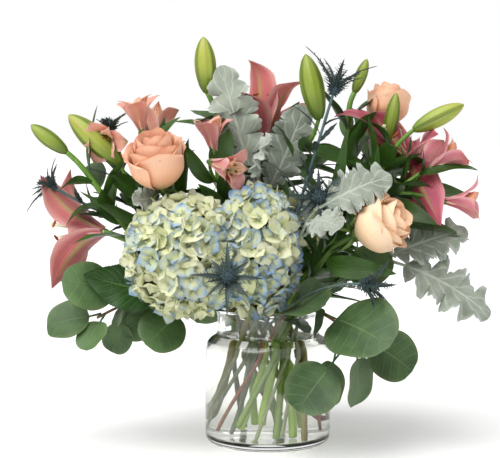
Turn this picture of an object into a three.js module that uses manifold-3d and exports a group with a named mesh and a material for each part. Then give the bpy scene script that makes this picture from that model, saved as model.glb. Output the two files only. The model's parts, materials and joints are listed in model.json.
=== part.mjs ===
// A mixed bunch of cut flowers in a clear glass jar of water: hydrangea, roses, lilies, alstroemeria,
// sea holly, dusty miller and silver dollar eucalyptus. Millimetres, +Z up, the front of the bunch towards
// -Y, and the origin at the centre of the jar's foot.
import * as THREE from "three";
import { mergeVertices } from "three/addons/utils/BufferGeometryUtils.js";
import Module from "manifold-3d";

const wasm = await Module();
wasm.setup();

// The jar.
const JAR_DIAMETER = 120;
const JAR_HEIGHT = 130;
const JAR_WALL = 4;
const JAR_FLOOR = 8;
const FOOT_ROUND = 9;
const NECK_DIAMETER = 96;
const NECK_LENGTH = 25;
const SHOULDER_DROP = 10;
const LIP_OUT = 2;
const LIP_HEIGHT = 6;
const LIP_ROUND = 1.5;
const JAR_SIDES = 36;

// The water stands this far below the lip.
const WATER_BELOW_LIP = 27;

// How the stems stand: every stem runs from its foot past a ring in the neck, all leaning the same way round.
const TIE_BELOW_LIP = 36;
const RING_SHARE = 0.5;
const INNER_RING_SHARE = 0.5;
const FOOT_CLEARANCE = 4;
const FOOT_ABOVE_FLOOR = 2;
const FOOT_STEP = 7;
const LIP_CLEARANCE = 3;
const STEM_SIDES = 6;
const STEM_STEP = 20;
const SHOOT_SHARE = 0.75;

// Touching pieces keep this clearance, and every blade is this thick.
const GAP = 0.3;
const SEAT = 0.4;
const STEM_INTO_HEAD = 10;
const BLADE = 1;
const STALK_WIDTH = 2.4;

// Sizes of the flowers.
const HYDRANGEA_WIDE = 110;
const ROSE_WIDE = 56;
const ROSE_LONG = 56;
const LILY_PETAL_WIDE = 28;
const BRACT_WIDE = 6;
const CONE_WIDE = 15;
const CONE_LONG = 22;
const SMALL_PETAL_LONG = 40;
const SMALL_PETAL_WIDE = 11;

// How far the whole bunch spreads, as a share of the drawn size.
const SPREAD = 1;

const DEG = Math.PI / 180;
const UP = new THREE.Vector3(0, 0, 1);
const TO_FRONT = new THREE.Vector3(0, -1, 0);

// A place in the bunch: to the right, to the back, and above the lip of the jar.
const at = (x, y, z) => new THREE.Vector3(x * SPREAD, y * SPREAD, z * SPREAD + JAR_HEIGHT);
const towards = (x, y, z) => new THREE.Vector3(x, y, z).normalize();
const between = (a, b) => b.clone().sub(a).normalize();

// ---------------------------------------------------------------- solids

function toSolid(geometry) {
  geometry.deleteAttribute("normal");
  geometry.deleteAttribute("uv");
  const merged = mergeVertices(geometry, 1e-4);
  return new wasm.Manifold(
    new wasm.Mesh({
      numProp: 3,
      vertProperties: merged.attributes.position.array,
      triVerts: new Uint32Array(merged.index.array),
    }),
  );
}

function toGeometry(solid) {
  const mesh = solid.getMesh();
  const positions = new Float32Array(mesh.numVert * 3);
  for (let i = 0; i < mesh.numVert; i++) {
    positions.set(mesh.vertProperties.subarray(i * mesh.numProp, i * mesh.numProp + 3), i * 3);
  }
  const geometry = new THREE.BufferGeometry();
  geometry.setAttribute("position", new THREE.BufferAttribute(positions, 3));
  geometry.setIndex(new THREE.BufferAttribute(new Uint32Array(mesh.triVerts), 1));
  return geometry;
}

const join = (solids) => solids.reduce((whole, one) => whole.add(one));

// The largest body is the piece itself. Anything smaller is a scrap that a neighbour has cut off.
function largestBody(solid) {
  return solid.decompose().reduce((best, body) => (body.volume() > best.volume() ? body : best));
}

// A turned solid about +Z from [radius, height] pairs, stood on a point and pointed along an axis.
function turned(profile, sides, foot, axis) {
  const geometry = new THREE.LatheGeometry(profile.map(([r, z]) => new THREE.Vector2(r, z)), sides);
  geometry.rotateX(Math.PI / 2);
  geometry.applyQuaternion(new THREE.Quaternion().setFromUnitVectors(UP, axis));
  geometry.translate(foot.x, foot.y, foot.z);
  return toSolid(geometry);
}

// The same route with both of its ends drawn out straight.
class Stretched extends THREE.Curve {
  constructor(route, length) {
    super();
    Object.assign(this, { route, length });
  }

  getPoint(share) {
    const drawnOut = (share === 1 ? this.length : 0) - (share === 0 ? this.length : 0);
    return this.route.getPointAt(share).addScaledVector(this.route.getTangentAt(share), drawnOut);
  }

  getPointAt(share) {
    return this.getPoint(share);
  }

  getTangentAt(share) {
    return this.route.getTangentAt(share);
  }
}

// A round stem of a few flat sides along a route. A grown one is thicker, and longer at both ends.
function tube(route, radius, sides, steps, grow = 0) {
  const section = new THREE.Shape();
  section.setFromPoints(
    Array.from({ length: sides }, (_, i) => {
      const angle = (2 * Math.PI * i) / sides;
      return new THREE.Vector2((radius + grow) * Math.cos(angle), (radius + grow) * Math.sin(angle));
    }),
  );
  return toSolid(new THREE.ExtrudeGeometry(section, { steps, extrudePath: new Stretched(route, grow) }));
}

// Half widths of a blade along its length, as a share of the widest.
const OUTLINE = {
  lance: (t) => Math.sin(Math.PI * t ** 0.8) ** 0.9,
  disc: (t) => 2 * Math.sqrt(t * (1 - t)),
  petal: (t) => Math.max(0.15 * (1 - t), Math.sin(Math.PI * t ** 1.3) ** 0.9),
  lobed: (t) => Math.sin(Math.PI * t ** 1.2) ** 0.7,
  heart: (t) => Math.sin(Math.PI * t ** 0.65) ** 0.8,
};

// A blade from one point to another, with a round bend that stands up on the side it faces.
function blade(setting, grow = 0) {
  const { from, to, wide, outline, face = TO_FRONT, bend = 0.6, fold = 0.15, stalk = 0 } = setting;
  const { rows = 6, lanes = 2 } = setting;
  const chord = between(from, to);
  const normal = face.clone().addScaledVector(chord, -face.dot(chord)).normalize();
  const across = new THREE.Vector3().crossVectors(normal, chord);
  const radius = from.distanceTo(to) / (2 * Math.sin(bend / 2));
  const geometry = new THREE.BoxGeometry(2, 1, 1, lanes, 1, rows);
  const place = geometry.attributes.position;
  const point = new THREE.Vector3();
  for (let i = 0; i < place.count; i++) {
    const side = place.getX(i);
    const share = place.getZ(i) + 0.5;
    const along = share + (grow / from.distanceTo(to)) * (2 * share - 1);
    const bladeShare = Math.min(1, Math.max(0, (share - stalk) / (1 - stalk)));
    const half = Math.max(STALK_WIDTH / 2, (wide / 2) * OUTLINE[outline](bladeShare) || 0) + grow;
    const lift = place.getY(i) * (BLADE + 2 * grow) + fold * Math.abs(side) * half * bladeShare;
    const angle = bend / 2 - bend * along;
    const chordwise = radius * (Math.sin(bend / 2) - Math.sin(angle)) - lift * Math.sin(angle);
    const upwards = radius * (Math.cos(angle) - Math.cos(bend / 2)) + lift * Math.cos(angle);
    point.copy(from).addScaledVector(chord, chordwise).addScaledVector(normal, upwards);
    point.addScaledVector(across, side * half);
    place.setXYZ(i, point.x, point.y, point.z);
  }
  return toSolid(geometry);
}

// ---------------------------------------------------------------- pieces and their clearances

const MATERIALS = {
  glass: { color: "#dfeae8", roughness: 0.05, metalness: 0 },
  water: { color: "#d5e6e4", roughness: 0.05, metalness: 0 },
  hydrangea: { color: "#dfe6b4", roughness: 0.75, metalness: 0 },
  rose: { color: "#f5b48c", roughness: 0.6, metalness: 0 },
  lily: { color: "#c96a70", roughness: 0.5, metalness: 0 },
  bud: { color: "#8f9c3e", roughness: 0.5, metalness: 0 },
  alstroemeria: { color: "#e59a94", roughness: 0.55, metalness: 0 },
  seaHolly: { color: "#3c5568", roughness: 0.7, metalness: 0 },
  silver: { color: "#a9b6ad", roughness: 0.9, metalness: 0 },
  gum: { color: "#4c6b4a", roughness: 0.6, metalness: 0 },
  stem: { color: "#5f7a35", roughness: 0.5, metalness: 0 },
};

const bouquet = new THREE.Group();
bouquet.name = "flowers_in_jar";
const taken = [];

// Takes the room of a finished shape, so that what comes later is cut clear of it.
function take(owner, grown) {
  taken.push({ owner, solid: grown, box: grown.boundingBox() });
}

const boxesMeet = (a, b) => [0, 1, 2].every((i) => a.min[i] <= b.max[i] && b.min[i] <= a.max[i]);

function clearOf(solid, owner) {
  const box = solid.boundingBox();
  return taken
    .filter((other) => other.owner !== owner && boxesMeet(other.box, box))
    .reduce((rest, other) => rest.subtract(other.solid), solid);
}

function addPiece(name, solid, root, material) {
  const geometry = toGeometry(largestBody(solid).translate([-root.x, -root.y, -root.z]));
  const mesh = new THREE.Mesh(geometry, new THREE.MeshStandardMaterial(MATERIALS[material]));
  mesh.name = name;
  mesh.position.copy(root);
  bouquet.add(mesh);
}

// ---------------------------------------------------------------- the jar

const jarRadius = JAR_DIAMETER / 2;
const insideRadius = jarRadius - JAR_WALL;
const neckRadius = NECK_DIAMETER / 2;
const neckInside = neckRadius - JAR_WALL;
const neckFoot = JAR_HEIGHT - NECK_LENGTH;
const shoulder = neckFoot - SHOULDER_DROP;
const waterLevel = JAR_HEIGHT - WATER_BELOW_LIP;
const origin = new THREE.Vector3();

// A quarter turn of a rounded corner, from the flat foot up to the straight wall.
function roundCorner(radius, wallRadius, floor, steps = 3) {
  return Array.from({ length: steps + 1 }, (_, i) => {
    const angle = (i / steps) * 90 * DEG;
    return [wallRadius - radius + radius * Math.sin(angle), floor + radius - radius * Math.cos(angle)];
  });
}

// The inner profile of the jar from the middle of its floor, drawn in by a clearance.
function jarInside(clearance) {
  const round = Math.max(1, FOOT_ROUND - JAR_WALL);
  return [
    [0, JAR_FLOOR + clearance],
    ...roundCorner(round, insideRadius - clearance, JAR_FLOOR + clearance, 2),
    [insideRadius - clearance, shoulder],
    [(insideRadius + neckInside) / 2 - clearance, shoulder + SHOULDER_DROP * 0.6],
    [neckInside - clearance, neckFoot],
  ];
}

function makeJar(grow) {
  const outside = [
    [0, -grow],
    ...roundCorner(FOOT_ROUND, jarRadius + grow, -grow),
    [jarRadius + grow, shoulder],
    [(jarRadius + neckRadius) / 2 + 1 + grow, shoulder + SHOULDER_DROP * 0.6],
    [neckRadius + grow, neckFoot],
    [neckRadius + grow, JAR_HEIGHT - LIP_HEIGHT],
    [neckRadius + LIP_OUT + grow, JAR_HEIGHT - LIP_HEIGHT / 2],
    [neckRadius + LIP_OUT / 2 + grow, JAR_HEIGHT + grow],
    [neckInside + LIP_ROUND - grow, JAR_HEIGHT + grow],
    [neckInside - grow, JAR_HEIGHT - LIP_ROUND],
  ];
  return turned([...outside, ...jarInside(grow).reverse()], JAR_SIDES, origin, UP);
}

function makeWater() {
  const wall = jarInside(GAP).filter(([, z]) => z < waterLevel);
  const [lastRadius, lastHeight] = wall[wall.length - 1];
  const share = Math.min(1, (waterLevel - lastHeight) / (neckFoot - lastHeight));
  const edge = THREE.MathUtils.lerp(lastRadius, neckInside - GAP, share);
  return turned([...wall, [edge, waterLevel], [0, waterLevel]], JAR_SIDES, origin, UP);
}

// ---------------------------------------------------------------- stems

const outerRing = neckInside * RING_SHARE + 4;
const rings = { outer: outerRing, inner: outerRing * INNER_RING_SHARE };
const tieHeight = JAR_HEIGHT - TIE_BELOW_LIP;
const footHeight = JAR_FLOOR + FOOT_ABOVE_FLOOR;
const footRadius = insideRadius - FOOT_CLEARANCE;
const lean = Math.acos(outerRing / footRadius);

// Each stem: the ring it stands in, its radius, where it ends and which way it points there.
// limbs are side shoots with their own ends, and blades are the leaves on the stem, at shares of its length.
const STEMS = {
  hydrangea_left: { ring: "outer", radius: 3.2, end: at(-60, -46, 14), aim: towards(-0.6, -0.5, 0.6) },
  hydrangea_right: { ring: "outer", radius: 3.2, end: at(-10, -52, 8), aim: towards(-0.1, -0.8, 0.5) },
  hydrangea_back: { ring: "outer", radius: 3.2, end: at(8, 54, 20), aim: towards(0, 0.8, 0.6) },
  rose_left: { ring: "inner", radius: 3, end: at(-97, -50, 114), aim: towards(-0.16, -0.36, 0.92) },
  rose_right: { ring: "outer", radius: 3, end: at(77, -60, 74), aim: towards(0.84, -0.38, 0.38) },
  rose_top: { ring: "inner", radius: 3, end: at(113, 32, 168), aim: towards(0.1, 0.15, 1) },
  lily_left: {
    ring: "outer",
    radius: 3.5,
    end: at(-153, -20, 74),
    aim: towards(-0.9, 0, 0.3),
    limbs: [
      { from: 0.75, end: at(-188, -20, 149), aim: towards(-0.8, 0, 0.6) },
      { from: 0.66, end: at(-142, -10, 138), aim: towards(-0.7, 0, 0.7) },
    ],
  },
  lily_top: {
    ring: "inner",
    radius: 3.5,
    end: at(-9, 20, 149),
    aim: towards(0, 0.1, 1),
    limbs: [
      { from: 0.78, end: at(-56, 10, 205), aim: towards(-0.1, 0, 1) },
      { from: 0.72, end: at(47, -20, 179), aim: towards(-0.2, 0, 1) },
    ],
  },
  lily_right: {
    ring: "inner",
    radius: 3.5,
    end: at(98, -10, 108),
    aim: towards(0.5, 0, 0.8),
    limbs: [
      { from: 0.72, end: at(81, 20, 205), aim: towards(0.4, 0, 0.9) },
      { from: 0.84, end: at(136, -20, 170), aim: towards(0.8, 0, 0.4) },
      { from: 0.78, end: at(112, 5, 155), aim: towards(0.2, 0, 1) },
    ],
  },
  alstroemeria_left: {
    ring: "inner",
    radius: 2.5,
    end: at(-117, -18, 166),
    aim: towards(-0.2, -0.1, 1),
    limbs: [
      { from: 0.75, end: at(-122, -16, 148), aim: towards(-0.9, -0.2, 0.3) },
      { from: 0.69, end: at(-106, 22, 156), aim: towards(-0.1, 0.6, 0.7) },
    ],
  },
  alstroemeria_middle: {
    ring: "inner",
    radius: 2.5,
    end: at(-50, -26, 148),
    aim: towards(-0.1, -0.1, 1),
    limbs: [{ from: 0.78, end: at(-54, -46, 140), aim: towards(0.7, -0.5, -0.2) }],
  },
  alstroemeria_right: {
    ring: "inner",
    radius: 2.5,
    end: at(150, -22, 134),
    aim: towards(0.8, 0, 0.5),
    limbs: [
      { from: 0.81, end: at(162, -28, 104), aim: towards(0.9, -0.2, 0) },
      { from: 0.75, end: at(146, 12, 128), aim: towards(0.4, 0.7, 0.6) },
    ],
  },
  sea_holly_left: {
    ring: "outer",
    radius: 1.8,
    end: at(-202, -8, 115),
    aim: towards(-0.8, 0, 0.5),
    limbs: [{ from: 0.56, end: at(-150, 0, 166), aim: towards(-0.3, 0, 1) }],
  },
  sea_holly_middle: {
    ring: "inner",
    radius: 1.8,
    end: at(60, -38, 204),
    aim: towards(0.3, 0, 1),
    limbs: [{ from: 0.53, end: at(46, -56, 108), aim: towards(0, -1, 0.2) }],
  },
  sea_holly_front: { ring: "outer", radius: 1.8, end: at(-36, -114, 40), aim: towards(0, -0.8, 0.4) },
  sea_holly_right: { ring: "outer", radius: 1.8, end: at(84, -82, 32), aim: towards(0.9, -0.3, -0.1) },
  eucalyptus_left: { ring: "outer", radius: 1.8, end: at(-160, -30, -6), aim: towards(-0.9, 0, -0.6) },
  eucalyptus_right: { ring: "outer", radius: 1.8, end: at(82, -72, -34), aim: towards(0.1, -0.1, -1) },
  eucalyptus_back: { ring: "outer", radius: 1.8, end: at(-52, 120, 4), aim: towards(-0.4, 0.8, -0.3) },
  dusty_miller_left: { ring: "inner", radius: 1.8, end: at(-100, -30, 98), aim: towards(-0.7, -0.3, 0.6) },
  dusty_miller_front: { ring: "outer", radius: 1.8, end: at(42, -64, 104), aim: towards(0.3, -0.2, 0.9) },
  dusty_miller_right: { ring: "outer", radius: 1.8, end: at(122, -26, 54), aim: towards(0.9, -0.1, 0.3) },
  dusty_miller_top: { ring: "inner", radius: 1.8, end: at(-8, -8, 134), aim: towards(0, 0, 1) },
  dusty_miller_back: { ring: "outer", radius: 1.8, end: at(66, 84, 70), aim: towards(0.5, 0.6, 0.6) },
};

// The stems of a ring stand evenly round it, in the order in which they would reach their flowers straight.
function turnsOfRing(ring) {
  const inOrder = Object.entries(STEMS)
    .filter(([, stem]) => stem.ring === ring)
    .map(([name, { end }]) => {
      const reach = Math.hypot(end.x, end.y);
      const turn = Math.atan2(end.y, end.x) - Math.acos(Math.min(1, rings[ring] / reach));
      return { name, turn: THREE.MathUtils.euclideanModulo(turn, 2 * Math.PI) };
    })
    .sort((a, b) => a.turn - b.turn);
  const step = (2 * Math.PI) / inOrder.length;
  const start = inOrder.reduce((sum, { turn }, i) => sum + turn - i * step, 0) / inOrder.length;
  return inOrder.map(({ name }, i) => [name, { turn: start + i * step, place: i }]);
}

const places = new Map([...turnsOfRing("outer"), ...turnsOfRing("inner")]);

// The way of a stem: straight from its foot past the ring in one step, then round to its end in several.
class StemRoute extends THREE.Curve {
  constructor(straight, upper, bends) {
    super();
    Object.assign(this, { straight, upper, bends });
  }

  getPoint(share) {
    const step = share * (this.bends + 1);
    const upperShare = Math.min(1, (step - 1) / this.bends);
    return step < 1 ? this.straight.getPoint(step) : this.upper.getPointAt(upperShare);
  }

  getPointAt(share) {
    return this.getPoint(share);
  }

  getTangentAt(share) {
    const step = share * (this.bends + 1);
    const upperShare = Math.min(1, (step - 1) / this.bends);
    return step < 1 ? this.straight.getTangent(0) : this.upper.getTangentAt(upperShare);
  }
}

// The place where a stem on its way from the ring to its end comes over the inner edge of the lip.
function overLip(tie, end, radius) {
  const [x, y] = [end.x - tie.x, end.y - tie.y];
  const [a, b, c] = [x * x + y * y, tie.x * x + tie.y * y, tie.x ** 2 + tie.y ** 2 - neckInside ** 2];
  const share = (Math.sqrt(b * b - a * c) - b) / a;
  return new THREE.Vector3(tie.x + share * x, tie.y + share * y, JAR_HEIGHT + LIP_CLEARANCE + radius);
}

// A round way between two points, with its direction at both.
function bentWay(start, startAim, end, endAim) {
  const reach = start.distanceTo(end);
  const first = start.clone().addScaledVector(startAim, reach * 0.35);
  const second = end.clone().addScaledVector(endAim, -reach * 0.3);
  return new THREE.CubicBezierCurve3(start, first, second, end);
}

// From the ring to the end of a stem: in one bend, or in two that clear the lip.
function upperWay(tie, rise, end, aim, radius) {
  const direct = bentWay(tie, rise, end, aim);
  const low = JAR_HEIGHT + radius + LIP_CLEARANCE;
  const clears = direct.getSpacedPoints(60).every(({ x, y, z }) => {
    const out = Math.hypot(x, y);
    return out < neckInside - radius || out > neckRadius + LIP_OUT + radius || z > low;
  });
  if (clears) return direct;
  const lip = overLip(tie, end, radius);
  const overAim = between(tie, lip).add(between(lip, end)).normalize();
  const way = new THREE.CurvePath();
  way.add(bentWay(tie, rise, lip, overAim));
  way.add(bentWay(lip, overAim, end, aim));
  return way;
}

// A point at a distance and a turn from the middle of the jar, at a height.
const turnedPoint = (out, turn, z) => new THREE.Vector3(out * Math.cos(turn), out * Math.sin(turn), z);

function stemRoute(name) {
  const { ring, radius, end, aim } = STEMS[name];
  const { turn, place } = places.get(name);
  const ringRadius = rings[ring];
  const foot = turnedPoint(ringRadius / Math.cos(lean), turn - lean, footHeight);
  const tie = turnedPoint(ringRadius, turn, tieHeight);
  const rise = between(foot, tie);
  foot.addScaledVector(rise, FOOT_STEP * (place % 3));
  const upper = upperWay(tie, rise, end, aim, radius);
  return new StemRoute(new THREE.LineCurve3(foot, tie), upper, Math.round(upper.getLength() / STEM_STEP));
}

// A side shoot leaves along its stem and comes round to its own end.
const limbRoute = ({ upper }, { from, end, aim }) =>
  bentWay(upper.getPointAt(from), upper.getTangentAt(from), end, aim);

const routes = new Map(Object.keys(STEMS).map((name) => [name, stemRoute(name)]));

function makeStem(name, grow) {
  const { radius, limbs = [] } = STEMS[name];
  const route = routes.get(name);
  const shoots = limbs.map((limb) => {
    const way = limbRoute(route, limb);
    const steps = Math.max(3, Math.round(way.getLength() / STEM_STEP));
    return tube(way, radius * SHOOT_SHARE, STEM_SIDES, steps, grow);
  });
  return join([tube(route, radius, STEM_SIDES, route.bends + 1, grow), ...shoots]);
}

// ---------------------------------------------------------------- leaves on the stems

// Leaves of one kind share a look. Each leaf leaves its stem at a share of its length and ends at its tip.
const LEAF_KINDS = {
  lance: { outline: "lance", wide: 17, bend: 0.7, rows: 5, lanes: 1 },
  heart: { outline: "heart", wide: 52, bend: -0.5, fold: 0.1, rows: 7, stalk: 0.42 },
  silver: { outline: "lobed", wide: 40, bend: 0.6, rows: 5, stalk: 0.15 },
  coin: { outline: "disc", bend: 0.25, rows: 7, lanes: 1 },
};

const LEAVES = {
  hydrangea_left: [{ kind: "heart", from: 0.8, to: at(-172, -42, 36), face: towards(-0.1, -0.8, 0.6) }],
  hydrangea_back: [
    { kind: "heart", from: 0.81, to: at(98, 84, 40), face: towards(0.3, 0.8, 0.5) },
    { kind: "heart", from: 0.88, to: at(-74, 74, 60), wide: 44, face: towards(-0.3, 0.8, 0.5) },
  ],
  rose_left: [{ kind: "lance", from: 0.69, to: at(-128, -66, 86), wide: 22 }],
  rose_right: [{ kind: "lance", from: 0.69, to: at(116, -80, 42), wide: 22 }],
  rose_top: [
    { kind: "lance", from: 0.66, to: at(138, 64, 132), wide: 26, face: towards(0.5, 0.7, 0.5) },
    { kind: "lance", from: 0.84, to: at(84, 70, 190), wide: 20, face: towards(0, 0.8, 0.5) },
  ],
  lily_left: [
    { kind: "lance", from: 0.47, to: at(-176, -34, 112), face: towards(-0.2, -0.7, 0.6) },
    { kind: "lance", from: 0.56, to: at(-166, 26, 150), face: towards(-0.2, 0.5, 0.7) },
    { kind: "lance", from: 0.66, to: at(-168, 60, 88), face: towards(-0.2, 0.6, 0.7) },
    { kind: "lance", from: 0.31, to: at(-138, -40, 92), face: towards(-0.2, -0.7, 0.6) },
    { kind: "heart", from: 0.5, to: at(-166, -38, 84), wide: 26, stalk: 0.5, face: towards(-0.2, -0.9, 0.4) },
  ],
  lily_top: [
    { kind: "lance", from: 0.69, to: at(-50, 74, 160), wide: 22, face: towards(-0.4, 0.7, 0.5) },
    { kind: "lance", from: 0.84, to: at(32, 86, 150), wide: 22, face: towards(0, 0.8, 0.5) },
    { kind: "lance", from: 0.88, to: at(30, 34, 196), face: towards(0.4, 0, 0.8) },
    { kind: "lance", from: 0.56, to: at(-14, 82, 112), wide: 24, face: towards(0, 0.8, 0.5) },
  ],
  lily_right: [
    { kind: "lance", from: 0.47, to: at(96, 40, 146), face: towards(0.3, 0.6, 0.6) },
    { kind: "lance", from: 0.62, to: at(74, -36, 172), wide: 14, face: towards(-0.2, -0.9, 0.3) },
    { kind: "lance", from: 0.78, to: at(146, 44, 96), wide: 20, face: towards(0.3, 0.7, 0.6) },
  ],
  alstroemeria_left: [
    { kind: "lance", from: 0.84, to: at(-82, -28, 182), wide: 14, bend: 1.6, face: towards(0.2, -0.4, 0.9) },
    { kind: "lance", from: 0.59, to: at(-138, 66, 120), wide: 20, face: towards(-0.3, 0.7, 0.6) },
    { kind: "lance", from: 0.72, to: at(-92, 62, 164), wide: 20, face: towards(0, 0.8, 0.5) },
  ],
  alstroemeria_middle: [
    { kind: "lance", from: 0.84, to: at(-46, -14, 198), wide: 22, fold: 0.3, lanes: 2 },
    { kind: "lance", from: 0.78, to: at(-80, -34, 158), wide: 15, face: towards(-0.5, -0.7, 0.5) },
    { kind: "lance", from: 0.69, to: at(-64, -54, 122), wide: 16, face: towards(-0.3, -0.8, 0.4) },
    { kind: "lance", from: 0.66, to: at(-64, 58, 130), wide: 20, face: towards(0, 0.8, 0.5) },
  ],
  alstroemeria_right: [
    { kind: "lance", from: 0.88, to: at(196, -26, 132), wide: 18, bend: 1.0, face: towards(0, -0.5, 0.9) },
    { kind: "lance", from: 0.75, to: at(156, -52, 84), wide: 20, face: towards(0, -0.9, 0.3) },
    { kind: "lance", from: 0.62, to: at(190, -20, 66), wide: 18, face: towards(0, -0.6, 0.8) },
    { kind: "lance", from: 0.53, to: at(170, 40, 62), wide: 18, face: towards(0.2, 0.7, 0.6) },
  ],
  dusty_miller_left: [
    { kind: "silver", from: 0.84, to: at(-204, -52, 64), wide: 24, stalk: 0.3, face: towards(0, -0.6, 0.8) },
    { kind: "silver", from: 0.95, to: at(-124, -76, 110), wide: 26, face: towards(0, -0.9, 0.4) },
  ],
  dusty_miller_front: [
    { kind: "silver", from: 0.94, to: at(112, -66, 128), wide: 44, face: towards(-0.2, -0.8, 0.5) },
    { kind: "silver", from: 0.89, to: at(64, -104, 84), wide: 30, face: towards(0.3, -0.9, 0.3) },
    { kind: "silver", from: 0.38, to: at(30, -100, 76), wide: 26, face: towards(0.5, -0.8, 0.2) },
  ],
  dusty_miller_right: [
    { kind: "silver", from: 0.89, to: at(206, -42, -4), wide: 48, bend: 0.8, face: towards(0.3, -0.7, 0.6) },
    { kind: "silver", from: 0.81, to: at(188, -18, 74), wide: 40, face: towards(0, -0.8, 0.6) },
  ],
  dusty_miller_top: [
    { kind: "silver", from: 0.84, to: at(-44, 2, 230), wide: 42, face: towards(-0.2, -0.9, 0.2) },
    { kind: "silver", from: 0.91, to: at(2, -58, 162), wide: 32, fold: 0.4, face: towards(-0.3, -0.6, 0.7) },
    { kind: "silver", from: 0.78, to: at(34, 4, 192), wide: 40, face: towards(0.3, -0.9, 0.2) },
  ],
  dusty_miller_back: [
    { kind: "silver", from: 0.92, to: at(112, 128, 100), wide: 42, face: towards(0.2, 0.6, 0.8) },
    { kind: "silver", from: 0.84, to: at(36, 130, 118), wide: 42, face: towards(-0.1, 0.6, 0.8) },
    { kind: "silver", from: 0.72, to: at(140, 84, 52), wide: 38, face: towards(0.5, 0.5, 0.7) },
  ],
};

// The round leaves of the eucalyptus: where the middle of each is, how wide it is and which way it faces.
const COINS = {
  eucalyptus_left: [
    { from: 0.66, middle: at(-150, -62, 8), wide: 52 },
    { from: 0.75, middle: at(-166, -34, 24), wide: 42, face: towards(-0.3, -0.8, 0.5) },
    { from: 0.95, middle: at(-184, -28, -10), wide: 38, face: towards(-0.9, -0.4, 0.2) },
    { from: 0.95, middle: at(-162, -44, -20), wide: 28, face: towards(-0.5, -0.8, 0) },
    { from: 0.81, middle: at(-142, -14, -26), wide: 26 },
    { from: 0.56, middle: at(-122, -14, -12), wide: 30 },
    { from: 0.44, middle: at(-98, -34, -16), wide: 40, face: towards(0.1, -0.9, 0.4) },
  ],
  eucalyptus_right: [
    { from: 0.41, middle: at(36, -76, 8), wide: 44, face: towards(0, -0.8, 0.5) },
    { from: 0.59, middle: at(82, -92, -10), wide: 60, face: towards(0.2, -0.9, 0.3) },
    { from: 0.72, middle: at(110, -60, -36), wide: 42, face: towards(0.3, -0.9, 0.2) },
    { from: 0.95, middle: at(80, -64, -58), wide: 40, face: towards(0.8, -0.6, 0.1) },
    { from: 0.88, middle: at(42, -90, -60), wide: 44, face: towards(-0.2, -1, 0.1) },
    { from: 0.34, middle: at(92, -44, 42), wide: 38, face: towards(0.2, -0.8, 0.5) },
    { from: 0.81, middle: at(58, -50, -62), wide: 36, face: towards(-0.5, -0.6, 0.4) },
  ],
  eucalyptus_back: [
    { from: 0.47, middle: at(-58, 84, 30), wide: 48, face: towards(-0.2, 0.8, 0.5) },
    { from: 0.62, middle: at(-14, 116, 12), wide: 50, face: towards(0.2, 0.9, 0.4) },
    { from: 0.75, middle: at(-92, 104, -4), wide: 50, face: towards(-0.3, 0.9, 0.3) },
    { from: 0.95, middle: at(-62, 140, -20), wide: 42, face: towards(-0.1, 0.9, 0.2) },
    { from: 0.53, middle: at(38, 108, -8), wide: 44, face: towards(0.3, 0.9, 0.3) },
    { from: 0.88, middle: at(-26, 128, -34), wide: 42, face: towards(0.1, 0.9, 0) },
    { from: 0.38, middle: at(-98, 66, 22), wide: 40, face: towards(-0.5, 0.7, 0.5) },
  ],
};

const onStem = (name, share) => routes.get(name).upper.getPointAt(share);

// Every leaf of a stem, as the settings of its blade.
function leavesOf(name) {
  const plain = (LEAVES[name] || []).map((leaf) => {
    return { ...LEAF_KINDS[leaf.kind], ...leaf, from: onStem(name, leaf.from) };
  });
  const coins = (COINS[name] || []).map(({ from, middle, wide, face }) => {
    const root = onStem(name, from);
    const reach = root.distanceTo(middle) + wide / 2;
    const to = middle.clone().addScaledVector(between(root, middle), wide / 2);
    return { ...LEAF_KINDS.coin, from: root, to, wide, face, stalk: Math.max(0, 1 - wide / reach) };
  });
  return [...plain, ...coins];
}

// ---------------------------------------------------------------- flowers

// Each hydrangea head stands on its stem, which goes a little way into it, and leans out from it.
const HEADS = {
  hydrangea_left: { wide: HYDRANGEA_WIDE, deep: 96, high: 114, leanOut: [-17, -16] },
  hydrangea_right: { wide: HYDRANGEA_WIDE * 0.86, deep: 90, high: 124, leanOut: [-7, -4] },
  hydrangea_back: { wide: HYDRANGEA_WIDE, deep: 94, high: 98, leanOut: [-2, 12] },
};

const ROSES = {
  rose_left: { wide: ROSE_WIDE, long: ROSE_LONG },
  rose_right: { wide: ROSE_WIDE * 0.94, long: ROSE_LONG * 0.96 },
  rose_top: { wide: ROSE_WIDE * 0.8, long: ROSE_LONG * 0.8 },
};

// Each lily has six petals, and these are their tips.
const LILIES = {
  lily_left: [
    at(-213, -22, 128), at(-226, -46, 90), at(-203, -24, 20), at(-190, 60, 84), at(-180, 40, 16),
    at(-190, 30, 130),
  ],
  lily_top: [
    at(-20, 22, 235), at(36, 20, 214), at(-22, -8, 190), at(-48, 58, 212), at(4, 86, 206), at(48, 58, 190),
  ],
  lily_right: [
    at(99, -12, 184), at(62, 6, 180), at(153, -22, 152), at(158, -52, 82), at(146, 42, 140), at(100, 56, 160),
  ],
};

// Buds sit on the side shoots of the lilies, in the order of the shoots.
const BUDS = {
  lily_left: [{ long: 42, wide: 16 }, { long: 64, wide: 24 }],
  lily_top: [{ long: 52, wide: 21 }, { long: 62, wide: 25 }],
  lily_right: [{ long: 34, wide: 11 }, { long: 52, wide: 20 }, { long: 50, wide: 15 }],
};

// Sea holly heads on the ends of their stems and shoots: how far the bracts open and how long they are.
const THISTLES = {
  sea_holly_left: [{ bracts: 8, open: 62, reach: 36 }, { bracts: 8, open: 58, reach: 34 }],
  sea_holly_middle: [{ bracts: 8, open: 42, reach: 50 }, { bracts: 8, open: 64, reach: 40 }],
  sea_holly_front: [{ bracts: 8, open: 78, reach: 34 }],
  sea_holly_right: [{ bracts: 8, open: 50, reach: 44 }],
};

const TRUMPETS = ["alstroemeria_left", "alstroemeria_middle", "alstroemeria_right"];

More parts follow.
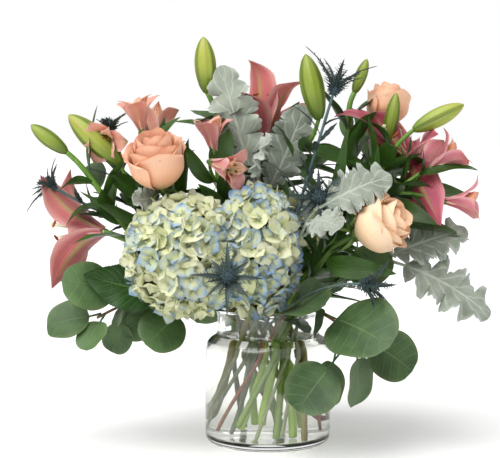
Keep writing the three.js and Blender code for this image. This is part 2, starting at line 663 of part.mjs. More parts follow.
// Where the flowers of a stem sit: just clear of its own end, then of those of its side shoots.
function endsOf(name) {
  const ends = [STEMS[name], ...(STEMS[name].limbs || [])];
  return ends.map(({ end, aim }) => ({ end: end.clone().addScaledVector(aim, SEAT), aim }));
}

function hydrangeaHead({ wide, deep, high, leanOut }, { end }, grow) {
  const [right, back] = leanOut;
  const flat = Math.hypot(right / wide, back / deep) * 2;
  const rise = (high / 2) * Math.sqrt(1 - flat ** 2) - STEM_INTO_HEAD;
  const middle = end.clone().add(new THREE.Vector3(right, back, rise));
  const geometry = new THREE.IcosahedronGeometry(1, 3);
  const place = geometry.attributes.position;
  for (let i = 0; i < place.count; i++) {
    const [x, y, z] = [place.getX(i), place.getY(i), place.getZ(i)];
    const lump = 1 + 0.03 * Math.sin(7 * x + 2) * Math.sin(6 * y + 1) * Math.sin(7 * z);
    place.setXYZ(
      i,
      middle.x + x * (wide / 2 + grow) * lump,
      middle.y + y * (deep / 2 + grow) * lump,
      middle.z + z * (high / 2 + grow) * lump,
    );
  }
  return toSolid(geometry);
}

// A half open rose: a cup that is fullest above its middle, with a hollow in its top.
function roseBloom({ wide, long }, { end, aim }, grow) {
  const half = wide / 2 + grow;
  const profile = [
    [0, -grow], [half * 0.3, -grow], [half * 0.72, long * 0.18], [half * 0.96, long * 0.42],
    [half, long * 0.6], [half * 0.86, long * 0.86], [half * 0.66, long + grow],
    [half * 0.45, long * 0.94 + grow], [0, long * 0.82 + grow],
  ];
  return turned(profile, 16, end, aim);
}

function lilyFlower(tips, { end, aim }, grow) {
  const petals = tips.map((tip) => {
    const chord = between(end, tip);
    const outwards = chord.clone().addScaledVector(aim, -chord.dot(aim)).normalize();
    const from = end.clone().addScaledVector(aim, 4).addScaledVector(outwards, 5);
    const face = aim.clone().multiplyScalar(0.8).sub(outwards);
    const shape = { wide: LILY_PETAL_WIDE, outline: "petal", bend: 0.9, rows: 5, lanes: 1 };
    return blade({ from, to: tip, face, ...shape }, grow);
  });
  const core = turned([[0, -grow], [5 + grow, -grow], [7 + grow, 6], [0, 12 + grow]], 8, end, aim);
  return join([core, ...petals]);
}

function lilyBud({ long, wide }, { end, aim }, grow) {
  const half = wide / 2;
  const profile = [
    [0, -grow], [Math.min(3.2, half * 0.5) + grow, -grow], [half * 0.8 + grow, long * 0.25],
    [half + grow, long * 0.5], [half * 0.7 + grow, long * 0.8], [0, long + grow],
  ];
  return turned(profile, 8, end, aim);
}

// A ring of narrow blades that open round an axis, from a small circle about its foot.
function bladeRing({ end, aim }, count, circle, setting, grow) {
  const side = new THREE.Vector3().crossVectors(aim, Math.abs(aim.z) < 0.9 ? UP : TO_FRONT).normalize();
  return Array.from({ length: count }, (_, i) => {
    const outwards = side.clone().applyAxisAngle(aim, (2 * Math.PI * i) / count);
    const { reach, open, shape } = setting(i);
    const from = end.clone().addScaledVector(aim, circle / 2).addScaledVector(outwards, circle);
    const to = end.clone().addScaledVector(aim, reach * Math.cos(open));
    to.addScaledVector(outwards, reach * Math.sin(open));
    const face = aim.clone().multiplyScalar(0.6).sub(outwards);
    return blade({ from, to, face, ...shape }, grow);
  });
}

function thistleHead({ bracts, open, reach }, socket, grow) {
  const half = CONE_WIDE / 2 + grow;
  const profile = [
    [0, -grow], [half * 0.5, -grow], [half, CONE_LONG * 0.3], [half * 0.8, CONE_LONG * 0.75],
    [0, CONE_LONG + grow],
  ];
  const cone = turned(profile, 8, socket.end, socket.aim);
  const setting = (i) => ({
    reach: reach * (i % 2 ? 0.86 : 1),
    open: (open + (i % 3) * 6) * DEG,
    shape: { wide: BRACT_WIDE, outline: "lance", bend: -0.4, rows: 2, lanes: 1 },
  });
  return join([cone, ...bladeRing(socket, bracts, half * 0.6, setting, grow)]);
}

function smallTrumpet(socket, grow) {
  const profile = [[0, -grow], [3 + grow, -grow], [5 + grow, 5], [0, 9 + grow]];
  const throat = turned(profile, 8, socket.end, socket.aim);
  const setting = (i) => ({
    reach: SMALL_PETAL_LONG * (i % 2 ? 0.94 : 1),
    open: (i % 2 ? 34 : 40) * DEG,
    shape: { wide: SMALL_PETAL_WIDE, outline: "petal", bend: 0.7, rows: 3, lanes: 1 },
  });
  return join([throat, ...bladeRing(socket, 6, 3.5, setting, grow)]);
}

// ---------------------------------------------------------------- the whole bunch

// Each flower: its node name, where it sits, what it is made of and how it is made with or without clearance.
function flowerList() {
  const list = [];
  const add = (name, socket, material, make) => list.push({ name, socket, material, make });
  for (const [name, head] of Object.entries(HEADS)) {
    const socket = endsOf(name)[0];
    add(name.replace("_", "_head_"), socket, "hydrangea", (grow) => hydrangeaHead(head, socket, grow));
  }
  for (const [name, rose] of Object.entries(ROSES)) {
    const socket = endsOf(name)[0];
    add(name.replace("_", "_bloom_"), socket, "rose", (grow) => roseBloom(rose, socket, grow));
  }
  for (const [name, tips] of Object.entries(LILIES)) {
    const sockets = endsOf(name);
    add(name.replace("_", "_flower_"), sockets[0], "lily", (grow) => lilyFlower(tips, sockets[0], grow));
    BUDS[name].forEach((bud, i) => {
      const label = `${name.replace("_", "_bud_")}_${i + 1}`;
      add(label, sockets[i + 1], "bud", (grow) => lilyBud(bud, sockets[i + 1], grow));
    });
  }
  for (const [name, thistles] of Object.entries(THISTLES)) {
    thistles.forEach((thistle, i) => {
      const socket = endsOf(name)[i];
      const label = `${name.replace("holly_", "holly_head_")}_${i + 1}`;
      add(label, socket, "seaHolly", (grow) => thistleHead(thistle, socket, grow));
    });
  }
  for (const name of TRUMPETS) {
    endsOf(name).forEach((socket, i) => {
      const label = `${name.replace("_", "_flower_")}_${i + 1}`;
      add(label, socket, "alstroemeria", (grow) => smallTrumpet(socket, grow));
    });
  }
  return list;
}

const STEM_MATERIAL = { eucalyptus: "gum", dusty: "silver", sea: "seaHolly" };
const stemMaterial = (name) => STEM_MATERIAL[name.split("_")[0]] || "stem";

function arrange() {
  addPiece("jar", makeJar(0), origin, "glass");
  take("jar", makeJar(GAP));
  const stems = new Map();
  for (const name of Object.keys(STEMS)) {
    stems.set(name, clearOf(makeStem(name, 0), name));
    take(name, makeStem(name, GAP));
  }
  addPiece("water", clearOf(makeWater(), "jar"), origin, "water");
  for (const { name, socket, material, make } of flowerList()) {
    addPiece(name, clearOf(make(0), name), socket.end, material);
    take(name, make(GAP));
  }
  for (const [name, stem] of stems) {
    const leaves = leavesOf(name).map((leaf) => {
      const kept = clearOf(blade(leaf, 0), name);
      take(name, blade(leaf, GAP));
      return kept;
    });
    addPiece(`${name}_stem`, join([stem, ...leaves]), new THREE.Vector3(), stemMaterial(name));
  }
}

arrange();

export default bouquet;
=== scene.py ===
# %% [markdown]
# # A mixed bunch of cut flowers in a glass jar
# On the real thing a florist has stood some two dozen stems in a jar of water: two big hydrangea heads low at the
# front, lilies and roses above them, and sprays of alstroemeria, sea holly, dusty miller and round-leaved eucalyptus
# between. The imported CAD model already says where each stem, leaf, petal and head is, so it could either be shown as
# it is, with better colours, or be used as a set of places for finer shapes. Its leaves are flat blades of a few
# faces, so this scene takes the second way: it measures the CAD solids, and grows every stem, leaf and petal anew
# along what it measured. If the CAD model changes, the flowers follow it.

import json
import math

import bmesh
import bpy
import numpy as np
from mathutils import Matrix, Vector
from mathutils.bvhtree import BVHTree

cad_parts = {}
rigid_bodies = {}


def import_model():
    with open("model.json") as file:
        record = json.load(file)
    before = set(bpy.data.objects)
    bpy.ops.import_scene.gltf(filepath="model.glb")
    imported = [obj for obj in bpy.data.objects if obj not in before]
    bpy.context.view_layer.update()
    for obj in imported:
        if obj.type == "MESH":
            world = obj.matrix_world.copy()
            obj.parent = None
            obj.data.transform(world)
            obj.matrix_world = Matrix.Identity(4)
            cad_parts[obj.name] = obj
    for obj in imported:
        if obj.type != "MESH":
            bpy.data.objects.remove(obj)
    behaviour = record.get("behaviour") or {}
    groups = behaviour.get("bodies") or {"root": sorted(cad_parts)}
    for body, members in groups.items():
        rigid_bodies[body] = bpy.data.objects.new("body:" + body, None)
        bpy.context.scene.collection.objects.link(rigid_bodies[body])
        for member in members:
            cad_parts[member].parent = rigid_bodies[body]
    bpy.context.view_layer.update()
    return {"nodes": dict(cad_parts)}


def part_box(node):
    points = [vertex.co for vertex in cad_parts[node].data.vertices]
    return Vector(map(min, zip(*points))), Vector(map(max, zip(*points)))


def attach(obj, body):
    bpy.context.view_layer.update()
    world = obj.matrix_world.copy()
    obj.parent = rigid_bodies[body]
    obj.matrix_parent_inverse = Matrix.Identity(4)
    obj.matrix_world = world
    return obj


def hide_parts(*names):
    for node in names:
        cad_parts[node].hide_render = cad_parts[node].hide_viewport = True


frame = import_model()
nodes = sorted(frame["nodes"])
MM = 0.001

# %% [markdown]
# ## Reading leaves and petals out of the CAD solids
# In the CAD model a leaf or a petal is a plate of even thickness, joined to a much thicker stem or flower base. So a
# ray shot inwards from its skin comes out again after about a millimetre, and one shot into a stem goes further. The
# thin faces are gathered into blades: a face and the one that its ray comes out of belong to the same blade, and so
# do neighbours that bend only gently. What is left over is the stem. Each blade is then cut across in steps from its
# root to its tip, and every cut gives its middle, its direction across and its half width: a rail for a finer leaf.

# %% Find the thin blades of a node
WELD = 2e-6
JUST_INSIDE = 1e-5
FARTHEST_RAY = 0.1
NO_WAY_OUT = (1.0, None)
THIN = 1.6 * MM
SMALLEST_BLADE = 40 * MM * MM
GENTLE_BEND = 0.8


def skin_of(node):
    """A welded, triangulated copy of a CAD node, whose own mesh is left alone."""
    skin = bmesh.new()
    skin.from_mesh(frame["nodes"][node].data)
    bmesh.ops.remove_doubles(skin, verts=skin.verts, dist=WELD)
    bmesh.ops.triangulate(skin, faces=skin.faces)
    skin.normal_update()
    skin.verts.index_update()
    skin.verts.ensure_lookup_table()
    skin.faces.index_update()
    skin.faces.ensure_lookup_table()
    return skin


def way_through(tree, point, normal):
    """How far a ray goes from a point of the skin until it comes out again, and the face where it does."""
    _, _, face, length = tree.ray_cast(point - normal * JUST_INSIDE, -normal, FARTHEST_RAY)
    return (length, face) if face is not None else NO_WAY_OUT


def split_blades(node):
    """A node's skin, its ray tree, its blades (each as triangles and root points) and the faces left over."""
    skin = skin_of(node)
    tree = BVHTree.FromBMesh(skin)
    opposite = {}
    for face in skin.faces:
        length, other = way_through(tree, face.calc_center_median(), face.normal)
        if length < THIN:
            opposite[face.index] = other
    leader = {i: i for i in opposite}

    def find(i):
        while leader[i] != i:
            leader[i] = leader[leader[i]]
            i = leader[i]
        return i

    for i, other in opposite.items():
        if other in opposite:
            leader[find(i)] = find(other)
        for edge in skin.faces[i].edges:
            for near in edge.link_faces:
                if near.index in opposite and skin.faces[i].normal.dot(near.normal) > GENTLE_BEND:
                    leader[find(i)] = find(near.index)
    groups = {}
    for i in opposite:
        groups.setdefault(find(i), []).append(i)
    kept = [g for g in groups.values() if sum(skin.faces[i].calc_area() for i in g) / 2 > SMALLEST_BLADE]
    kept = [(g, {v.index for i in g for v in skin.faces[i].verts}) for g in kept]
    rest = set(range(len(skin.faces))) - {i for g, _ in kept for i in g}
    for _, corners in kept:
        rest -= {i for i in rest if all(v.index in corners for v in skin.faces[i].verts)}
    core = {v.index for i in rest for v in skin.faces[i].verts}
    blades = []
    for group, corners in kept:
        triangles = np.array([[v.co[:] for v in skin.faces[i].verts] for i in group])
        roots = np.array([skin.verts[i].co[:] for i in corners & core]).reshape(-1, 3)
        blades.append((triangles, roots))
    return skin, tree, blades, rest


# %% Turn a blade into a rail
RAIL_SHARES = np.linspace(0.02, 0.985, 11)


def unit(vector):
    return vector / max(1e-12, np.linalg.norm(vector))


def rail_of(triangles, roots):
    """Middles, directions across and half widths of a blade, from its root to its tip."""
    points = triangles.reshape(-1, 3)
    root = roots.mean(0) if len(roots) else points[points[:, 2].argmin()]
    tip = points[np.linalg.norm(points - root, axis=1).argmax()]
    chord = unit(tip - root)
    high = (points @ chord).max()
    low = root @ chord
    middles, across, halves = [], [], []
    for share in RAIL_SHARES:
        level = low + share * (high - low)
        height = triangles @ chord - level
        cut = []
        for a, b in ((0, 1), (1, 2), (2, 0)):
            crossed = height[:, a] * height[:, b] < 0
            part = (height[crossed, a] / (height[crossed, a] - height[crossed, b]))[:, None]
            cut.append(triangles[crossed, a] + part * (triangles[crossed, b] - triangles[crossed, a]))
        cut = np.concatenate(cut)
        if len(cut) < 2:
            continue
        spread = cut - cut.mean(0)
        side = np.linalg.svd(spread, full_matrices=False)[2][0]
        if across and side @ across[-1] < 0:
            side = -side
        reach = spread @ side
        middles.append(cut.mean(0) + side * (reach.max() + reach.min()) / 2)
        across.append(side)
        halves.append((reach.max() - reach.min()) / 2)
    measured = {"middle": np.array(middles), "side": np.array(across), "half": np.array(halves)}
    return {"root": root, "tip": tip, **measured}


# %% [markdown]
# ## Reading the centre line of every stem
# What is left of a stem node is a branching tube. A ray shot inwards from its skin leaves through the far side, and
# half way along it is a point on the centre line. Thousands of such points are averaged in small cells, the cells
# are joined by their shortest network, and the network is walked from the foot of the stem to its ends. The stem
# could also be drawn by hand from a table of places, but then it would have to be kept in step with the CAD model.

# %% Find the centre lines of a stem
CELL = 5 * MM
LINE_STEP = 4 * MM
RAY_STEP = 2 * MM
LEAST_SHOOT = 24 * MM
LEAST_END = 0.5 * MM
THICKEST_STEM = 8.5 * MM
FACES_AWAY = -0.7
OFF_THE_EDGE = 0.98
STEM_CORNER = math.pi / 6


def centre_points(skin, tree, faces):
    """Points on the centre line of a tube and its thickness there, from rays shot across it."""
    points, widths = [], []
    for i in faces:
        face = skin.faces[i]
        a, b, c = (np.array(v.co) for v in face.verts)
        longest = max(np.linalg.norm(a - b), np.linalg.norm(b - c), np.linalg.norm(c - a))
        steps = max(2, int(longest / RAY_STEP))
        for j in range(steps):
            for k in range(2):
                u, v = (j + 0.5) / steps, (k + 0.5) / 2
                point = Vector(a + (b - a) * u * (1 - v / 2) + (c - a) * (1 - u) * (1 - v / 2) * OFF_THE_EDGE)
                length, other = way_through(tree, point, face.normal)
                if THIN < length < THICKEST_STEM and face.normal.dot(skin.faces[other].normal) < FACES_AWAY:
                    points.append(np.array(point - face.normal * length / 2))
                    widths.append(length)
    return np.array(points), np.array(widths)


def cells_of(points, widths):
    """The points and widths averaged in cells, in a settled order. A cell with one point is dropped."""
    keys = np.floor(points / CELL).astype(int)
    where = np.unique(keys, axis=0, return_inverse=True)[1].reshape(-1)
    count = np.bincount(where)
    middle = np.stack([np.bincount(where, points[:, k]) / count for k in range(3)], axis=1)
    width = np.bincount(where, widths) / count
    return middle[count > 1], width[count > 1]


def shortest_network(points):
    """Each point's parent in the shortest network that joins them all, and its way back to the first point."""
    count = len(points)
    parent = np.full(count, -1)
    best = np.linalg.norm(points - points[0], axis=1)
    nearest = np.zeros(count, int)
    far = np.zeros(count)
    joined = np.zeros(count, bool)
    joined[0] = True
    for _ in range(count - 1):
        i = int(np.where(joined, np.inf, best).argmin())
        joined[i] = True
        parent[i] = nearest[i]
        far[i] = far[parent[i]] + best[i]
        reach = np.linalg.norm(points - points[i], axis=1)
        closer = ~joined & (reach < best)
        best[closer] = reach[closer]
        nearest[closer] = i
    return parent, far


def smooth_line(line, passes):
    line = line.copy()
    for _ in range(passes):
        line[1:-1] = line[:-2] / 4 + line[1:-1] / 2 + line[2:] / 4
    return line


def spaced(line, step):
    """The same line in even steps."""
    lengths = np.r_[0, np.cumsum(np.linalg.norm(np.diff(line, axis=0), axis=1))]
    count = max(3, int(round(lengths[-1] / step)) + 1)
    along = np.linspace(0, lengths[-1], count)
    return np.stack([np.interp(along, lengths, line[:, k]) for k in range(3)], axis=1)


def centre_lines(skin, tree, faces):
    """The lines of a stem, the longest first, from its foot or its fork to its end, and the radius of each."""
    points, widths = cells_of(*centre_points(skin, tree, faces))
    foot = points[:, 2].argmin()
    order = np.r_[foot, np.delete(np.arange(len(points)), foot)]
    points, widths = points[order], widths[order]
    parent, far = shortest_network(points)
    solid = np.array([v.co[:] for i in faces for v in skin.faces[i].verts])
    used, lines = {0}, []
    while True:
        ends = []
        for i in range(len(points)):
            j = i
            while j not in used:
                j = parent[j]
            ends.append(far[i] - far[j])
        end = int(np.argmax(ends))
        if ends[end] < LEAST_SHOOT:
            break
        chain = [end]
        while chain[-1] not in used:
            chain.append(int(parent[chain[-1]]))
        used |= set(chain)
        line = smooth_line(points[chain[::-1]], 3)
        radius = float(np.median(widths[chain])) / 2 / math.cos(STEM_CORNER)
        aim = unit(line[-1] - line[-3])
        ahead = solid[np.linalg.norm(solid - line[-1], axis=1) < 3 * CELL]
        line = np.vstack([line, line[-1] + aim * max(LEAST_END, ((ahead - line[-1]) @ aim).max())])
        if not lines:
            down = unit(line[0] - line[3])
            below = solid[np.linalg.norm(solid - line[0], axis=1) < 3 * CELL]
            line = np.vstack([line[0] + down * max(LEAST_END, ((below - line[0]) @ down).max()), line])
        lines.append((smooth_line(spaced(line, LINE_STEP), 6), radius))
    return lines


# %% Read every node once
FLOWERS_WITH_BLADES = ("lily_flower", "alstroemeria_flower", "sea_holly_head")
flat_nodes = [n for n in nodes if n.endswith("_stem") or n.startswith(FLOWERS_WITH_BLADES)]
rails, stem_lines = {}, {}
for node in flat_nodes:
    skin, tree, blades, rest = split_blades(node)
    rails[node] = [rail_of(triangles, roots) for triangles, roots in blades]
    if node.endswith("_stem"):
        stem_lines[node] = centre_lines(skin, tree, rest)
    skin.free()
print("blades:", sum(len(r) for r in rails.values()), "centre lines:", sum(len(x) for x in stem_lines.values()))
# %% [markdown]
# ## Two ways of making a skin
# Everything that grows here is either a thin sheet, such as a leaf or a petal, or something round, such as a stem, a
# bud or the heart of a rose. Solidify could give a sheet its thickness, but its even rim looks like cut card. So a
# sheet is made as two skins that meet in a sharp rim, thickest inside, as a real petal is. Round things are rings of
# points with a fan at each end. Both go into a heap, and each heap becomes one mesh, with a UV map that runs from
# root to tip and from edge to edge, and a tint that differs from leaf to leaf.

# %% Gather faces in a heap
BODY = "root"
UPRIGHT = np.array([0.0, 0.0, 1.0])
FULL_TURN = 6.28  # what a random draw is multiplied by to turn a leaf's ruffle, near enough a full turn
random = np.random.default_rng(20)


class Heap:
    """Skins gathered for one piece."""

    def __init__(self):
        self.points, self.uvs, self.tints, self.rims = [], [], [], []
        self.faces, self.kinds, self.count = [], [], 0

    def add(self, points, uvs, tint, rim, faces, kind=0):
        self.points.append(points)
        self.uvs.append(uvs)
        self.tints.append(np.full(len(points), tint))
        self.rims.append(rim)
        for group in faces:
            self.faces += (group + self.count).tolist()
            self.kinds.append(np.full(len(group), kind))
        self.count += len(points)

    def mesh(self, name, *materials):
        mesh = bpy.data.meshes.new(name)
        mesh.from_pydata(np.concatenate(self.points).tolist(), [], self.faces)
        corner = np.zeros(len(mesh.loops), int)
        mesh.loops.foreach_get("vertex_index", corner)
        layer = mesh.uv_layers.new(name="blade")
        layer.data.foreach_set("uv", np.concatenate(self.uvs)[corner].astype(np.float32).ravel())
        tint = mesh.attributes.new("tint", "FLOAT", "POINT")
        tint.data.foreach_set("value", np.concatenate(self.tints).astype(np.float32))
        mesh.shade_smooth()
        rim = np.concatenate(self.rims)
        ends = np.zeros(len(mesh.edges) * 2, int)
        mesh.edges.foreach_get("vertices", ends)
        mesh.edges.foreach_set("use_edge_sharp", (rim[ends[::2]] & rim[ends[1::2]]).astype(bool))
        for material in materials:
            mesh.materials.append(material)
        mesh.polygons.foreach_set("material_index", np.concatenate(self.kinds).astype(np.int32))
        mesh.update()
        return mesh


def piece_from(mesh, slot, *cad_nodes):
    """Makes a finished mesh a piece on its body, and lets it stand for its CAD nodes."""
    piece = bpy.data.objects.new(mesh.name, mesh)
    bpy.context.scene.collection.objects.link(piece)
    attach(piece, BODY)
    if cad_nodes:
        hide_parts(*cad_nodes)
    return piece


def piece_of(heap, name, slot, materials, *cad_nodes):
    return piece_from(heap.mesh(name, *materials), slot, *cad_nodes)


# %% Sheets and round skins
def sheet(heap, surface, thick, tint=0.5, kind=0):
    """A leaf or petal from rows of points: two skins, at most that thick, that meet along the rim."""
    rows, lanes = surface.shape[:2]
    normal = np.cross(np.gradient(surface, axis=0), np.gradient(surface, axis=1))
    normal /= np.maximum(1e-12, np.linalg.norm(normal, axis=2, keepdims=True))
    index = np.arange(rows * lanes).reshape(rows, lanes)
    inside = np.zeros((rows, lanes), bool)
    inside[1:-1, 1:-1] = True
    under = index.copy()
    under[inside] = rows * lanes + np.arange(inside.sum())
    lift = np.where(inside[..., None], normal * thick / 2, 0)
    u, v = np.meshgrid(np.linspace(0, 1, rows), np.linspace(0, 1, lanes), indexing="ij")
    uv = np.stack([u, v], axis=2)

    def skin(at, turn):
        quads = np.stack([at[:-1, :-1], at[1:, :-1], at[1:, 1:], at[:-1, 1:]], axis=2).reshape(-1, 4)
        return quads[:, ::turn]

    points = np.concatenate([(surface + lift).reshape(-1, 3), (surface - lift)[inside]])
    uvs = np.concatenate([uv.reshape(-1, 2), uv[inside]])
    rim = np.r_[~inside.reshape(-1), np.zeros(inside.sum(), bool)]
    heap.add(points, uvs, tint, rim, [skin(index, 1), skin(under, -1)], kind)


def rounds(heap, rings, tint=0.5, kind=0):
    """A closed skin from rings of points, each ring turning the same way, with a fan at both ends."""
    rows, sides = rings.shape[:2]
    index = np.arange(rows * sides).reshape(rows, sides)
    ahead = np.roll(index, -1, axis=1)
    quads = np.stack([index[:-1], ahead[:-1], ahead[1:], index[1:]], axis=2).reshape(-1, 4)
    first, last = rows * sides, rows * sides + 1
    foot = np.stack([np.full(sides, first), ahead[0], index[0]], axis=1)
    top = np.stack([np.full(sides, last), index[-1], ahead[-1]], axis=1)
    points = np.concatenate([rings.reshape(-1, 3), rings[0].mean(0)[None], rings[-1].mean(0)[None]])
    u, v = np.meshgrid(np.linspace(0, 1, rows), np.arange(sides) / sides, indexing="ij")
    uvs = np.concatenate([np.stack([u, v], axis=2).reshape(-1, 2), [[0, 0.5], [1, 0.5]]])
    heap.add(points, uvs, tint, np.zeros(len(points), bool), [quads, foot, top], kind)


def square_to(aim):
    """A direction square to another one."""
    return unit(np.cross(aim, UPRIGHT if abs(aim[2]) < 0.9 else [1.0, 0.0, 0.0]))


def about(one, two, turns):
    """The ways out from an axis at some turns, from two directions square to it."""
    return one * np.cos(turns)[..., None] + two * np.sin(turns)[..., None]


def way_out(one, two, turn):
    """The way out from an axis at one turn."""
    return one * math.cos(turn) + two * math.sin(turn)


def across_line(line):
    """A line's aim, and two directions square to it, at each of its points, carried along without twisting."""
    aims = np.gradient(line, axis=0)
    aims /= np.linalg.norm(aims, axis=1, keepdims=True)
    sides = [square_to(aims[0])]
    for aim in aims[1:]:
        sides.append(unit(sides[-1] - aim * (sides[-1] @ aim)))
    sides = np.array(sides)
    return aims, sides, np.cross(aims, sides)


END_ROUND = (0.3, 0.7)  # how far a stem's end stands out and how wide it is there, as shares of the radius


def tube(heap, line, radii, sides, tint=0.5, kind=0, ribs=0.0):
    """A stem along a line, with rounded ends and five faint ribs."""
    aims, one, two = across_line(line)
    turn = np.arange(sides) * 2 * math.pi / sides
    radii = np.broadcast_to(radii, len(line))
    ring = radii[:, None] * (1 + ribs * np.cos(5 * turn))[None]
    body = line[:, None] + ring[..., None] * about(one[:, None], two[:, None], turn)
    out, wide = END_ROUND
    first = line[0] - aims[0] * radii[0] * out + (body[0] - line[0]) * wide
    last = line[-1] + aims[-1] * radii[-1] * out + (body[-1] - line[-1]) * wide
    rounds(heap, np.concatenate([first[None], body, last[None]]), tint, kind)


def turned(heap, root, aim, profile, sides, tint=0.5, kind=0, wave=None):
    """A turned shape from [radius, height] pairs about an axis. wave changes the radius with height share and turn."""
    root, aim = np.asarray(root, float), unit(np.asarray(aim, float))
    one = square_to(aim)
    two = np.cross(aim, one)
    turn = np.arange(sides) * 2 * math.pi / sides
    profile = np.array(profile, float)
    share = np.linspace(0, 1, len(profile))
    swell = np.ones((len(profile), sides)) if wave is None else wave(share[:, None], turn[None])
    out = profile[:, 0, None] * swell
    rings = root + aim * profile[:, 1, None, None] + out[..., None] * about(one, two, turn)
    rounds(heap, rings, tint, kind)


def smooth_profile(pairs, count):
    """A smooth curve through [radius, height] pairs."""
    pairs = np.array(pairs, float)
    lengths = np.r_[0, np.cumsum(np.linalg.norm(np.diff(pairs, axis=0), axis=1))]
    slopes = np.gradient(pairs, lengths, axis=0)
    along = np.linspace(0, lengths[-1], count)
    place = np.clip(np.searchsorted(lengths, along, side="right") - 1, 0, len(pairs) - 2)
    span = (lengths[place + 1] - lengths[place])[:, None]
    t = ((along - lengths[place])[:, None]) / span
    a, b = pairs[place], pairs[place + 1]
    da, db = slopes[place] * span, slopes[place + 1] * span
    return a + da * t + (3 * (b - a) - 2 * da - db) * t**2 + (2 * (a - b) + da + db) * t**3


print("skins are ready")
# %% [markdown]
# ## Finishes that grow
# Leaves and petals share three effects: veins that run out from a midrib, a mottle that breaks up their colour, and
# a fine grain in the skin. Each is a shader node group, built once and placed in every material with values of its
# own. The groups read only the blade's UV map, its tint and the place on the object, and put out plain masks. The
# shader stays in the material, where a little translucent light is mixed in, because a petal glows when lit from
# behind. Image textures could show veins too, but they would have to be made by another program.

# %% Helpers for node trees
def colour(text, alpha=1.0):
    """A colour as it is written in a paint chart, such as "7c8f3a", made linear for the shader."""
    parts = [int(text[i : i + 2], 16) / 255 for i in (0, 2, 4)]
    return tuple(p / 12.92 if p <= 0.04045 else ((p + 0.055) / 1.055) ** 2.4 for p in parts) + (alpha,)


class Tree:
    """A short way of writing a node tree: each call makes a node, sets its values and links its inputs."""

    def __init__(self, tree):
        self.tree = tree

    def put(self, kind, settings=None, **inputs):
        node = self.tree.nodes.new(kind)
        for name, value in (settings or {}).items():
            setattr(node, name, value)
        for name, value in inputs.items():
            self.feed(node.inputs[name.replace("_", " ")], value)
        return node

    def feed(self, socket, value):
        if isinstance(value, bpy.types.NodeSocket):
            self.tree.links.new(value, socket)
        else:
            socket.default_value = value

    def math(self, operation, a, b=0.0, clamp=False):
        node = self.tree.nodes.new("ShaderNodeMath")
        node.operation, node.use_clamp = operation, clamp
        self.feed(node.inputs[0], a)
        self.feed(node.inputs[1], b)
        return node.outputs[0]

    def ramp(self, value, low, high, to_low=0.0, to_high=1.0):
        node = self.put("ShaderNodeMapRange", {"interpolation_type": "SMOOTHSTEP"}, Value=value)
        for name, number in (("From Min", low), ("From Max", high), ("To Min", to_low), ("To Max", to_high)):
            self.feed(node.inputs[name], number)
        return node.outputs["Result"]

    def mix(self, share, a, b, blend="MIX"):
        node = self.tree.nodes.new("ShaderNodeMix")
        node.data_type, node.blend_type = "RGBA", blend
        self.feed(node.inputs[0], share)
        self.feed(node.inputs[6], a)
        self.feed(node.inputs[7], b)
        return node.outputs[2]

    def noise(self, place, scale, detail=3.0, rough=0.5):
        node = self.put("ShaderNodeTexNoise", Vector=place, Scale=scale, Detail=detail, Roughness=rough)
        return node.outputs["Fac"]


def new_tree(name, tree_kind, inputs, outputs):
    """An empty node tree with named inputs and outputs, the sockets that it is given and those it puts out."""
    tree = bpy.data.node_groups.new(name, tree_kind)
    for label, kind, value in inputs:
        socket = tree.interface.new_socket(label, in_out="INPUT", socket_type=f"NodeSocket{kind}")
        if value is not None:
            socket.default_value = value
    for label, kind in outputs:
        tree.interface.new_socket(label, in_out="OUTPUT", socket_type=f"NodeSocket{kind}")
    given, put_out = tree.nodes.new("NodeGroupInput"), tree.nodes.new("NodeGroupOutput")
    return tree, Tree(tree), given.outputs, put_out.inputs


# %% The veins of a blade
# U runs from root to tip and V from edge to edge. Side veins leave the midrib at a slant, and curve to the tip.
veins_group, t, given, put_out = new_tree(
    "blade_veins", "ShaderNodeTree",
    [("UV", "Vector", None), ("Side veins", "Float", 9.0), ("Slant", "Float", 0.35), ("Midrib", "Float", 0.03),
     ("Fineness", "Float", 0.2), ("Lines", "Float", 0.0)],
    [("Vein", "Float"), ("Ribs", "Float"), ("Edge", "Float"), ("Along", "Float")],
)
split = t.put("ShaderNodeSeparateXYZ", Vector=given["UV"])
along, lane = split.outputs["X"], split.outputs["Y"]
from_middle = t.math("ABSOLUTE", t.math("SUBTRACT", t.math("MULTIPLY", lane, 2.0), 1.0))
thinning = t.math("SUBTRACT", 1.0, t.math("MULTIPLY", along, 0.7))
midrib = t.math("DIVIDE", from_middle, t.math("MULTIPLY", given["Midrib"], thinning))
midrib = t.ramp(midrib, 0.5, 1.6, 1.0, 0.0)
slanted = t.math("SUBTRACT", along, t.math("MULTIPLY", t.math("POWER", from_middle, 0.8), given["Slant"]))
wave = t.math("PINGPONG", t.math("MULTIPLY", slanted, given["Side veins"]), 0.5)
side = t.ramp(wave, 0.0, given["Fineness"], 1.0, 0.0)
side = t.math("MULTIPLY", side, t.ramp(from_middle, 0.75, 1.0, 0.8, 0.1))
lines = t.math("PINGPONG", t.math("MULTIPLY", from_middle, given["Lines"]), 0.5)
lines = t.math("MULTIPLY", t.ramp(lines, 0.05, 0.4, 1.0, 0.0), t.math("MINIMUM", given["Lines"], 1.0))
t.feed(put_out["Vein"], t.math("MAXIMUM", midrib, side))
t.feed(put_out["Ribs"], t.math("MAXIMUM", midrib, lines))
t.feed(put_out["Edge"], from_middle)
t.feed(put_out["Along"], along)

